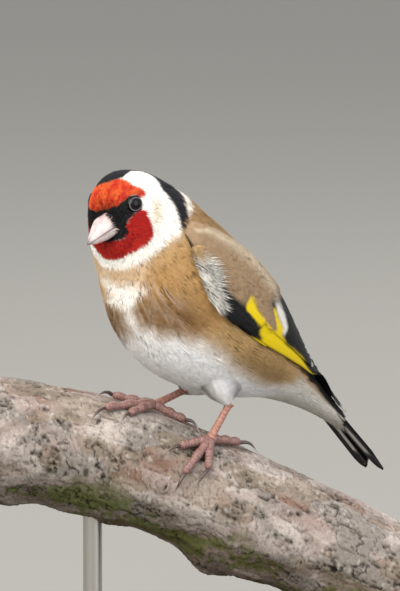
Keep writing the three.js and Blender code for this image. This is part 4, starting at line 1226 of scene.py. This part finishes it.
# Eyes: a wet cornea over a brown iris, all but filled by the pupil. Clear and glossy, with sharp highlights.
def eyeMaterial():
    m, tree, shader = newMaterial("eye, wet cornea over a dark iris")
    place = addNode(tree, "ShaderNodeTexCoord")
    off = []
    for side in (1, -1):
        seat, look = eyeSeat(side)
        front = toWorld(seat + look * (eyeSet["radius"] - eyeSet["sunk"]))
        off.append(addNode(tree, "ShaderNodeVectorMath", {"operation": "DISTANCE", 1: tuple(front)},
                           {0: place.outputs["Object"]}).outputs["Value"])
    least = addNode(tree, "ShaderNodeMath", {"operation": "MINIMUM"}, dict(enumerate(off)))
    # the pupil is 2 mm across and the iris a 0.5 mm ring round it
    share = addNode(tree, "ShaderNodeMapRange", {"From Min": 0.0, "From Max": 0.002},
                    {"Value": least.outputs["Value"]})
    stops = [(0.0, "#020203"), (0.5, "#030303"), (0.56, "#150d0a"), (0.78, "#0f0a08"), (0.9, "#030303")]
    colour = addNode(tree, "ShaderNodeValToRGB", {"stops": stops}, {"Fac": share.outputs["Result"]})
    setNode(tree, shader, {"Roughness": 0.05, "IOR": 1.376, "Specular IOR Level": 0.35},
            {"Base Color": colour.outputs["Color"]})
    return m


# Eyelid: bare skin round the eye, drawn tight. Grey, slightly moist, so its rim catches the light.
def lidMaterial():
    m, tree, shader = newMaterial("eyelid, bare moist skin")
    place = addNode(tree, "ShaderNodeTexCoord")
    # beads of about 0.4 mm
    bead = addNode(tree, "ShaderNodeTexNoise", {"Scale": 2600.0, "Detail": 2.0},
                   {"Vector": place.outputs["Object"]})
    colour = addNode(tree, "ShaderNodeValToRGB", {"stops": [(0.3, "#26262b"), (0.7, "#5a5a62")]},
                     {"Fac": bead.outputs["Fac"]})
    bump = addNode(tree, "ShaderNodeBump", {"Strength": 0.5, "Distance": 0.0001},
                   {"Height": bead.outputs["Fac"]})
    setNode(tree, shader, {"Roughness": 0.45},
            {"Base Color": colour.outputs["Color"], "Normal": bump.outputs["Normal"]})
    return m


def makeEyes():
    # a ball, and round it a rim: an oval ring with an oval section, longest fore and aft
    ballMaterial, rimMaterial = eyeMaterial(), lidMaterial()
    for side, word in sideWord.items():
        place, look = eyeSeat(side)
        right = unit(np.cross(look, headUp))
        up = np.cross(right, look)
        theta = np.linspace(0.02, np.pi - 0.02, 48)
        phi = np.linspace(0, 2 * np.pi, 64, endpoint=False)
        centre = place - look * eyeSet["sunk"]
        ring = np.sin(theta)[:, None, None] * (np.cos(phi)[:, None] * right + np.sin(phi)[:, None] * up)
        ball = centre + eyeSet["radius"] * (ring + np.cos(theta)[:, None, None] * look)
        eye = newPiece("eyeball." + word, *closedLoft(ball), ballMaterial)
        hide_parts("eye_" + word)
        a = np.linspace(0, 2 * np.pi, 72, endpoint=False)
        b = np.linspace(0, 2 * np.pi, 14, endpoint=False)
        outward = np.cos(a)[:, None] * right + np.sin(a)[:, None] * up
        rim = eyeSet["lidRadius"] * (1 + 0.06 * np.cos(2 * a))[:, None] * outward + place + look * 0.05
        wire = eyeSet["lidWire"] * (1 + 0.12 * np.sin(a * 9) * 0.4)
        section = outward[:, None] * np.cos(b)[None, :, None] * wire[:, None, None]
        section = section * 1.15 + look * (np.sin(b)[None, :, None] * wire[:, None, None])
        # the last ring joins the first
        quads = gridQuads(len(a) + 1, len(b), closed=True) % (len(a) * len(b))
        points = (rim[:, None] + section).reshape(-1, 3)
        if signedVolume(points, quads) < 0:
            quads = quads[:, ::-1]
        lid = newPiece("eyelid." + word, points, quads, None, rimMaterial)


makeEyes()
print("eyes made")

# Perch

perchSet = dict(start=-60.4, end=57.4, behind=2.2, bendFrom=-60.0, bendTo=15.0, leftHeight=-37.4,
                leftSlope=-0.1, rightSlope=-0.47, radius=15.6, taper=0.014, rows=400, sides=214)
sideways = np.array([math.cos(math.radians(viewTurn)), math.sin(math.radians(viewTurn)), 0])
towardsView = np.array([math.sin(math.radians(viewTurn)), -math.cos(math.radians(viewTurn)), 0])


def perchCentre(s):
    # a gentle bend: the slope eases from the left one to the right one
    p = perchSet
    bend = p["bendTo"] - p["bendFrom"]
    t = np.clip((s - p["bendFrom"]) / bend, 0, 1)
    eased = bend * (t**3 - t**4 / 2) + np.maximum(0, s - p["bendTo"])
    z = p["leftHeight"] + p["leftSlope"] * (s - p["bendFrom"]) + (p["rightSlope"] - p["leftSlope"]) * eased
    return s[..., None] * sideways - p["behind"] * towardsView + z[..., None] * upWay


def perchAt(s, degrees, height=0.0):
    # round the branch from its top towards the viewer, with the solid's own lumps and knot low down
    s, degrees = np.broadcast_arrays(np.asarray(s, float), np.asarray(degrees, float))
    along = unit(perchCentre(s + 0.5) - perchCentre(s - 0.5))
    up = unit(upWay - along * along[..., 2:])
    a = np.radians(degrees)
    low = np.maximum(0, -np.cos(a))
    lumps = 0.35 * np.sin(0.21 * s + 2 * a) + 0.25 * np.sin(0.47 * s - 3 * a + 1)
    knot = 3.2 * np.exp(-(((s - 9) / 7) ** 2)) * low**3
    r = perchSet["radius"] - perchSet["taper"] * s + lumps * low**0.5 + knot + height
    return perchCentre(s) + up * (r * np.cos(a))[..., None] + towardsView * (r * np.sin(a))[..., None]


# dark is painted shade, for the branch's underside and the insides of cracks, pits and ledges
barkHex = dict(pale="#aea49c", pink="#998982", grey="#7f7871", rust="#734b3d", tan="#776349", dark="#251e19",
               lichen="#c6c1b8", moss="#4f5821", wood="#c8a878")


def barkNoise(s, a, along, around, octaves, seed, shift=0.0):
    # layered noise on the branch's own surface, its grain set along and around
    p = np.stack([s * along + shift, np.cos(a) * around, np.sin(a) * around], -1)
    return layeredNoise(p, octaves, seed)


def barkRelief(s, a):
    # long plates parted by cracks, with pits and warts; negative is inwards, in mm
    broad = barkNoise(s, a, 0.11, 2.6, 3, 21)
    plate = barkNoise(s, a, 0.17, 5.6, 4, 31)
    crack = np.exp(-((plate / 0.07) ** 2)) * ease(0.35 + broad * 1.6)
    fine = barkNoise(s, a, 1.3, 17, 3, 41)
    pit = ease((barkNoise(s, a, 0.45, 7, 2, 51) - 0.8) / 0.25)
    flake = barkNoise(s, a, 0.1, 3.0, 4, 81, 3) * 2.6
    stair = flake - np.floor(flake)
    ledge = np.floor(flake) + ease((stair - 0.86) / 0.14)
    rim = np.exp(-(((stair - 0.9) / 0.07) ** 2))
    relief = 0.16 * broad - 0.7 * crack + 0.06 * fine - 0.35 * pit + 0.24 * ledge - 0.14 * rim
    return relief, crack, fine, pit, broad, ledge, rim


# Bark: cork layers split by growth, weathered dry. Dull and rough, so it shows only by its relief.
def barkMaterial():
    m, tree, shader = newMaterial("bark, weathered cork")
    place = addNode(tree, "ShaderNodeTexCoord")
    # grains of about 0.7 mm
    grain = addNode(tree, "ShaderNodeTexNoise", {"Scale": 1500.0, "Detail": 5.0, "Roughness": 0.65},
                    {"Vector": place.outputs["Object"]})
    stops = [(0.3, "#c6c1bb"), (0.5, "#e8e8e8"), (0.7, "#ffffff")]
    tone = addNode(tree, "ShaderNodeValToRGB", {"stops": stops}, {"Fac": grain.outputs["Fac"]})
    bump = addNode(tree, "ShaderNodeBump", {"Strength": 0.45, "Distance": 0.0002},
                   {"Height": grain.outputs["Fac"]})
    setNode(tree, shader, {"Roughness": 0.88, "Specular IOR Level": 0.25},
            {"Base Color": toneOver(tree, tone, 0.8), "Normal": bump.outputs["Normal"]})
    return m


def makePerch(p):
    # rings of perchAt with the bark's relief, and the bark's colours and painted shade laid over one another
    s, degrees = np.meshgrid(np.linspace(p["start"], p["end"], p["rows"]),
                             np.linspace(0, 360, p["sides"], endpoint=False), indexing="ij")
    a = np.radians(degrees)
    relief, crack, fine, pit, broad, ledge, rim = barkRelief(s, a)
    points, quads, tris = closedLoft(perchAt(s, degrees, np.minimum(relief - 0.15, 0.14)))
    c = linearSet(barkHex)
    patches = barkNoise(s, a, 0.09, 1.9, 4, 61, 7)
    specks = barkNoise(s, a, 0.8, 11, 2, 71)
    low = ease((-np.cos(a) + 0.15) / 0.8)
    layers = [
        ("pink", ease(0.5 + patches * 1.3)),
        ("grey", ease(0.3 + broad * 1.5) * 0.9),
        ("tan", ease((-ledge - 0.2) / 0.6) * 0.4),
        ("rust", ease((patches - 0.34) / 0.3) * ease(0.3 - ledge * 0.5) * 0.55),
        ("lichen", ease((specks - 0.5) / 0.25) * 0.35),
        # painted shade: darker on the branch's underside
        ("dark", low * 0.45),
        ("moss", low * ease((patches + 0.15 + specks * 0.5) / 0.4) * 0.8),
        # painted shade in the cracks, the pits and under each ledge's rim
        ("dark", crack * 0.85 + pit * 0.7 + rim * 0.55),
    ]
    colour = c["pale"]
    for name, mask in layers:
        colour = mix(colour, c[name], np.clip(mask, 0, 1)[..., None])
    colour = colour * (1 + 0.14 * fine)[..., None]
    colours = np.clip(np.concatenate([colour.reshape(-1, 3), np.tile(c["wood"], (2, 1))]), 0, 1)
    branch = newPiece("perchBark", points, quads, tris, barkMaterial(), colours)
    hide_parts("perch")


makePerch(perchSet)
print("perch made")

# Legs and feet

legSet = dict(tarsusRadius=0.9, toeRadius=1.08, clawRadius=0.5, hubRadius=1.5, gap=0.3, sides=28, plates=9,
              plateLength=0.85)
legs = dict(
    left=dict(hub=(-3.2, 31), ankle=(8.2, 3.4, -27.6), knee=(9.5, -3.5, -19), cuff=0.05,
              toes=dict(inner=(-9.2, 49, -12.4, 62), middle=(-6.0, 72, -6.6, 95), outer=(-1.2, 60, -2.6, 82),
                        hind=(3.6, 9, 8.6, 3))),
    right=dict(hub=(-17.4, 7), ankle=(-7.8, 2.6, -25.4), knee=(-7.2, 7.5, -20), cuff=0.2,
               toes=dict(inner=(-22.4, 32, -24.0, 46), middle=(-28.2, 33, -31.4, 55),
                         outer=(-27.0, 5, -31.2, 19), hind=(-9.6, 10, -5.4, 21))),
)


# Leg skin: hard overlapping scutes over thin flesh. Satin, with pale edges between the plates.
def legMaterial():
    m, tree, shader = newMaterial("leg skin, horny scutes over flesh")
    place = addNode(tree, "ShaderNodeTexCoord")
    # small plates of about 0.3 mm between the scutes
    cell = addNode(tree, "ShaderNodeTexVoronoi", {"Scale": 3200.0}, {"Vector": place.outputs["Object"]})
    tone = addNode(tree, "ShaderNodeValToRGB", {"stops": [(0.1, "#ffffff"), (0.7, "#c9b4ae")]},
                   {"Fac": cell.outputs["Distance"]})
    bump = addNode(tree, "ShaderNodeBump", {"Strength": 0.35, "Distance": 0.0001},
                   {"Height": cell.outputs["Distance"]})
    setNode(tree, shader, {"Roughness": 0.5, "Subsurface Weight": 0.1,
                           "Subsurface Radius": (0.001, 0.0004, 0.0003)},
            {"Base Color": toneOver(tree, tone), "Normal": bump.outputs["Normal"]})
    return m


# Claws: solid horn, worn smooth. Dark with a paler, slightly clear tip.
def clawMaterial():
    m, tree, shader = newMaterial("claw, solid horn")
    colour = addNode(tree, "ShaderNodeVertexColor", {"layer_name": "Tone"})
    setNode(tree, shader, {"Roughness": 0.32, "IOR": 1.54}, {"Base Color": colour.outputs["Color"]})
    return m


legLinear = linearSet(dict(leg="#c49784", legDark="#8d5d51", toe="#93706a", toeEdge="#b5a098", claw="#4a3a36",
                           clawTip="#a08f86"))


def scutes(share, rings, a, depth):
    # overlapping plates: each ring swells slowly and drops sharply, most on the front
    saw = (share * rings) % 1
    front = 0.55 + 0.45 * np.cos(a)
    return depth * (saw[:, None] ** 1.5 - 0.4) * front[None]


def withEnds(colour, first, last):
    # a grid of colours as a list, with one more for the middle of each end
    return np.concatenate([colour.reshape(-1, 3), [first, last]])


def makeShank(word, hub, ankle, a, skin):
    # a tube from the foot to the ankle, swollen at both, with plates darker at their roots
    share = np.linspace(0, 1, 70)
    radius = legSet["tarsusRadius"] * mix(1.12, 1.0, share) + 0.35 * ease((share - 0.85) / 0.15)
    radius = radius + 0.3 * (1 - share) ** 6
    ridges = scutes(share, legSet["plates"], a, 0.1)
    shank = closedLoft(tube(mix(hub, ankle, share[:, None]), radius, len(a), ridges))
    plate = (0.45 + 0.55 * ((share * legSet["plates"]) % 1))[:, None, None] * np.ones((1, len(a), 1))
    colours = withEnds(mix(legLinear["legDark"], legLinear["leg"], plate), legLinear["leg"], legLinear["leg"])
    piece = newPiece("shank." + word, *shank, skin, colours)
    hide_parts("tarsus_" + word)


def toeShape(hub, start, end, a):
    # a tube that leaves the foot's middle, follows the bark and rounds off, with knuckles and plates
    t = np.linspace(0, 1, 60)
    r = legSet["toeRadius"] * mix(1.04, 0.82, t) + 0.2 * np.sin(3 * np.pi * t) ** 2
    height = legSet["gap"] * 0.4 + r * 0.95 + 0.7 * (1 - t) ** 2
    path = perchAt(mix(start[0], end[0], t), mix(start[1], end[1], t), height)
    path = mix(hub, path, ease(t / 0.25)[:, None])
    r = r * np.sqrt(np.clip(1 - ((t - 0.94) / 0.06).clip(0) ** 2, 0.02, 1))
    rings = max(5, round(np.linalg.norm(path[-1] - path[0]) / legSet["plateLength"]))
    edge = ((t * rings) % 1)[:, None, None] ** 4 * np.ones((1, len(a), 1))
    colour = mix(legLinear["toe"], legLinear["toeEdge"], edge * 0.6)
    colour = colour * (1 - 0.12 * np.sin(3 * np.pi * t) ** 2)[:, None, None]
    shape = closedLoft(tube(path, r, len(a), scutes(t, rings, a, 0.13)))
    return shape, withEnds(colour, legLinear["toe"], legLinear["toe"])


def clawShape(start, end, sides=16):
    # a tapering tube bowed up off the bark from the toe's end to the claw's point, paler towards it
    t = np.linspace(0, 1, 40)
    bow = 1.25 * np.sin(np.pi * np.minimum(1, t * 1.05)) * (1 - 0.3 * t)
    height = legSet["gap"] * 0.4 + mix(0.75, 0.0, t) + bow + 0.1
    path = perchAt(mix(start[0], end[0], t), mix(start[1], end[1], t), height)
    radius = np.maximum(0.06, legSet["clawRadius"] * 1.1 * (1 - t**1.3 * 0.95))
    tip = np.repeat(mix(legLinear["claw"], legLinear["clawTip"], ease((t - 0.45) / 0.5)[:, None]), sides, 0)
    return *closedLoft(tube(path, radius, sides)), withEnds(tip, legLinear["claw"], legLinear["clawTip"])


def makeLegs():
    # for each leg a shank, a foot of one knob and four toes, four claws and a thigh
    skin, horn = legMaterial(), clawMaterial()
    a = np.linspace(0, 2 * np.pi, legSet["sides"], endpoint=False)
    for word, leg in legs.items():
        hub = perchAt(*leg["hub"], legSet["gap"] + legSet["hubRadius"] * 0.95)
        ankle, knee = np.array(leg["ankle"], float), np.array(leg["knee"], float)
        makeShank(word, hub, ankle, a, skin)
        knob = np.linspace(0, np.pi, 18)
        circle = np.cos(a)[:, None] * leftWay + np.sin(a)[:, None] * np.array([0, 1.0, 0])
        ball = np.sin(knob)[:, None, None] * circle + np.cos(knob)[:, None, None] * np.array([0, 0, 0.75])
        parts = [closedLoft(hub + 1.42 * ball)]
        colours = [np.ones((len(parts[0][0]), 3)) * legLinear["toe"]]
        for toe, (endS, endA, clawS, clawA) in leg["toes"].items():
            shape, hues = toeShape(hub, leg["hub"], (endS, endA), a)
            parts.append(shape)
            colours.append(hues)
            points, quads, tris, tip = clawShape((endS, endA), (clawS, clawA))
            claw = newPiece(f"claw.{word}.{toe}", points, quads, tris, horn, tip)
            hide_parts(f"claw_{word}_{toe}")
        piece = newPiece("foot." + word, *joinParts(parts), skin, np.clip(np.concatenate(colours), 0, 1))
        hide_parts("foot_" + word)
        makeThigh(word, knee, ankle, hub, leg["cuff"])


thighSet = dict(radius=2.3, count=3400, spread=5.6, width=0.17, bow=0.9, rootDepth=0.7)
thighWhite = linear("#f3f1ee")


def makeThigh(word, knee, ankle, hub, cuff):
    # flesh: a short cone from inside the belly to the ankle. Coat: barbs rooted on the belly round the leg,
    # which run straight to a ring round the ankle, bowed outwards, the far ones stopping short
    t = np.linspace(0, 1, 30)
    end = mix(ankle, hub, cuff)
    radius = thighSet["radius"] * mix(0.8, 0.36, t**1.2)
    core = closedLoft(tube(mix(knee, end, t[:, None]), radius, legSet["sides"]))
    # the flesh is the thigh's white times 0.85: painted shade where it shows between the barbs
    thighFlesh.append((*core, np.ones((len(core[0]), 3)) * thighWhite * 0.85))
    u, angle = np.meshgrid(np.linspace(0.35, 0.8, 120), np.radians(np.arange(180, 360, 2)), indexing="ij")
    surface = bodyAt(u, angle)
    nearest = np.unravel_index(((surface - mix(knee, ankle, 0.45)) ** 2).sum(-1).argmin(), u.shape)
    n = thighSet["count"]
    far = thighSet["spread"] * np.sqrt(draw.random(n))
    turn = draw.uniform(0, 2 * np.pi, n)
    along, around, _ = bodySlopes(u[nearest], angle[nearest])
    rootU = u[nearest] + far * np.cos(turn) / np.linalg.norm(along)
    rootA = angle[nearest] + far * np.sin(turn) / np.linalg.norm(around)
    _, _, normal = bodySlopes(rootU, rootA)
    root = bodyAt(rootU, rootA) - normal * thighSet["rootDepth"]
    axis = unit(end - knee)
    out = root - end
    out = unit(out - (out @ axis)[:, None] * axis)
    target = end + out * (0.95 + 0.1 * draw.random(n))[:, None] - axis * (0.5 * draw.random(n) - 0.6)[:, None]
    reach = mix(1.06, 0.62, far / thighSet["spread"]) * draw.uniform(0.75, 1.05, n)
    k = reach[:, None] * longSteps
    path = root[:, None] + (target - root)[:, None] * k[..., None]
    path = path + out[:, None] * (thighSet["bow"] * 4 * k * np.clip(1 - k, 0, 1) + 0.1)[..., None]
    way = unit(np.gradient(path, axis=1))
    across = unit(np.cross(out[:, None], way))
    up = np.cross(way, across)
    width = thighSet["width"] * draw.uniform(0.7, 1.2, n)[:, None] * np.array([1.1, 1.0, 0.7])
    base = mix(thighWhite, plumageColour(rootU, rootA), 0.5) * draw.normal(1, 0.06, n)[:, None]
    # the ring shades are painted shade at each barb's root and painted light at its tip
    tuft = barbPiece("coat.thigh." + word, 1, path, up, across, width,
                     shaded(base, np.ones(n), (0.9, 0.97, 1.02, 1.05)), rootU, rootA / (2 * np.pi), False)


makeLegs()
print("legs made")

makeSkin(skinSet)
print("skin made")

# Stand: a turned disc of oiled walnut and two brushed steel rods, all plain


# Walnut: close-grained wood, turned and oiled. Straight grain about 1.5 mm apart and a satin sheen.
def walnutMaterial():
    m, tree, shader = newMaterial("walnut, turned and oiled")
    place = addNode(tree, "ShaderNodeTexCoord")
    stretch = addNode(tree, "ShaderNodeMapping", {"Scale": (1.0, 12.0, 12.0)},
                      {"Vector": place.outputs["Object"]})
    grain = addNode(tree, "ShaderNodeTexNoise", {"Scale": 55.0, "Detail": 6.0, "Roughness": 0.6},
                    {"Vector": stretch.outputs["Vector"]})
    stops = [(0.3, "#3a2416"), (0.52, "#5f3f28"), (0.7, "#7a5638")]
    colour = addNode(tree, "ShaderNodeValToRGB", {"stops": stops}, {"Fac": grain.outputs["Fac"]})
    bump = addNode(tree, "ShaderNodeBump", {"Strength": 0.15, "Distance": 0.0002},
                   {"Height": grain.outputs["Fac"]})
    setNode(tree, shader, {"Roughness": 0.42},
            {"Base Color": colour.outputs["Color"], "Normal": bump.outputs["Normal"]})
    return m


# Stainless rod, drawn and brushed lengthwise. Soft long highlights.
def steelMaterial():
    m, tree, shader = newMaterial("stainless steel, drawn and brushed")
    place = addNode(tree, "ShaderNodeTexCoord")
    stretch = addNode(tree, "ShaderNodeMapping", {"Scale": (1.0, 1.0, 0.03)},
                      {"Vector": place.outputs["Object"]})
    # lines 0.25 mm apart, drawn coarser than real ones so that they show
    brush = addNode(tree, "ShaderNodeTexNoise", {"Scale": 4000.0, "Detail": 2.0},
                    {"Vector": stretch.outputs["Vector"]})
    rough = addNode(tree, "ShaderNodeMapRange", {"To Min": 0.26, "To Max": 0.42},
                    {"Value": brush.outputs["Fac"]})
    setNode(tree, shader, {"Base Color": rgba("#b9b6b0"), "Metallic": 1.0},
            {"Roughness": rough.outputs["Result"]})
    return m


standSet = dict(radius=47.0, height=9.0, rodRadius=2.5, rods=(-28.0, 26.0), edge=1.4, foot=0.6, rodUnder=10.0)


def makeStand(s):
    # the disc's profile turned about the upright line: flat under, a small foot chamfer, a rounded top edge
    corner = np.linspace(0, np.pi / 2, 10)
    edge, foot = s["edge"], s["foot"]
    r = np.concatenate([[s["radius"] - foot, s["radius"]], s["radius"] - edge + edge * np.cos(corner)])
    z = np.concatenate([[0.0, foot], s["height"] - edge + edge * np.sin(corner)])
    rows = np.linspace(0, s["radius"] - edge - 0.2, 12)[1:]
    r = np.concatenate([rows, r, rows[::-1]])
    z = np.concatenate([0 * rows, z, 0 * rows + s["height"]])
    a = np.linspace(0, 2 * np.pi, 160, endpoint=False)
    rings = np.stack([r[:, None] * np.cos(a), r[:, None] * np.sin(a), z[:, None] + 0 * a], -1) - lift
    disc = newPiece("standDisc", *closedLoft(rings), walnutMaterial())
    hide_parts("stand_base")
    steel = steelMaterial()
    for i, along in enumerate(s["rods"]):
        top = perchCentre(np.array(along))
        low = s["height"] + 0.3 - lift[2]
        z = np.linspace(low, top[2] - s["rodUnder"], 30)
        path = np.stack([np.full(30, top[0]), np.full(30, top[1]), z], -1)
        radius = s["rodRadius"] * (1 - 0.12 * np.exp(-((z - low) / 0.4) ** 2))
        rod = newPiece(f"standRod.{i + 1}", *closedLoft(tube(path, radius, 40)), steel)
        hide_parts(f"stand_rod_{i + 1}")


makeStand(standSet)
print("stand made")

# Floor and light

studioSet = dict(floor="#8c8a84", floorRadius=14.0, sky="#f1f3f5", skyStrength=0.9)
lampSet = dict(
    # azimuth from the camera's and elevation in degrees, distance in mm, size in m, watts, hex
    key=(-30, 42, 1200.0, 1.3, 23, "#fff8f0"),
    fill=(50, 20, 1200.0, 1.2, 8, "#f2f6ff"),
    rim=(170, 45, 1000.0, 0.7, 4, "#ffffff"),
)


def makeStudio(s):
    # a plain pale disc of floor, a grey-white sky and three broad lamps
    a = np.linspace(0, 2 * np.pi, 64, endpoint=False)
    mesh = bpy.data.meshes.new("floor")
    mesh.from_pydata([(s["floorRadius"] * math.cos(t), s["floorRadius"] * math.sin(t), 0) for t in a], [],
                     [tuple(range(len(a)))])
    floor = bpy.data.objects.new("floor", mesh)
    bpy.context.scene.collection.objects.link(floor)
    m, tree, shader = newMaterial("floor, matt painted board")
    setNode(tree, shader, {"Base Color": rgba(s["floor"]), "Roughness": 0.9})
    mesh.materials.append(m)
    world = bpy.data.worlds.new("sky")
    world.use_nodes = True
    setNode(world.node_tree, world.node_tree.nodes["Background"], {0: rgba(s["sky"]), 1: s["skyStrength"]})
    bpy.context.scene.world = world
    for name, (azimuth, elevation, distance, size, watts, code) in lampSet.items():
        data = bpy.data.lights.new(name, "AREA")
        data.shape = "DISK"
        data.size = size
        data.energy = watts
        data.color = tuple(linear(code))
        standOff(bpy.data.objects.new(name, data), viewTurn + azimuth, elevation, distance)


makeStudio(studioSet)
bpy.context.scene.view_settings.view_transform = "Standard"
print("studio made")
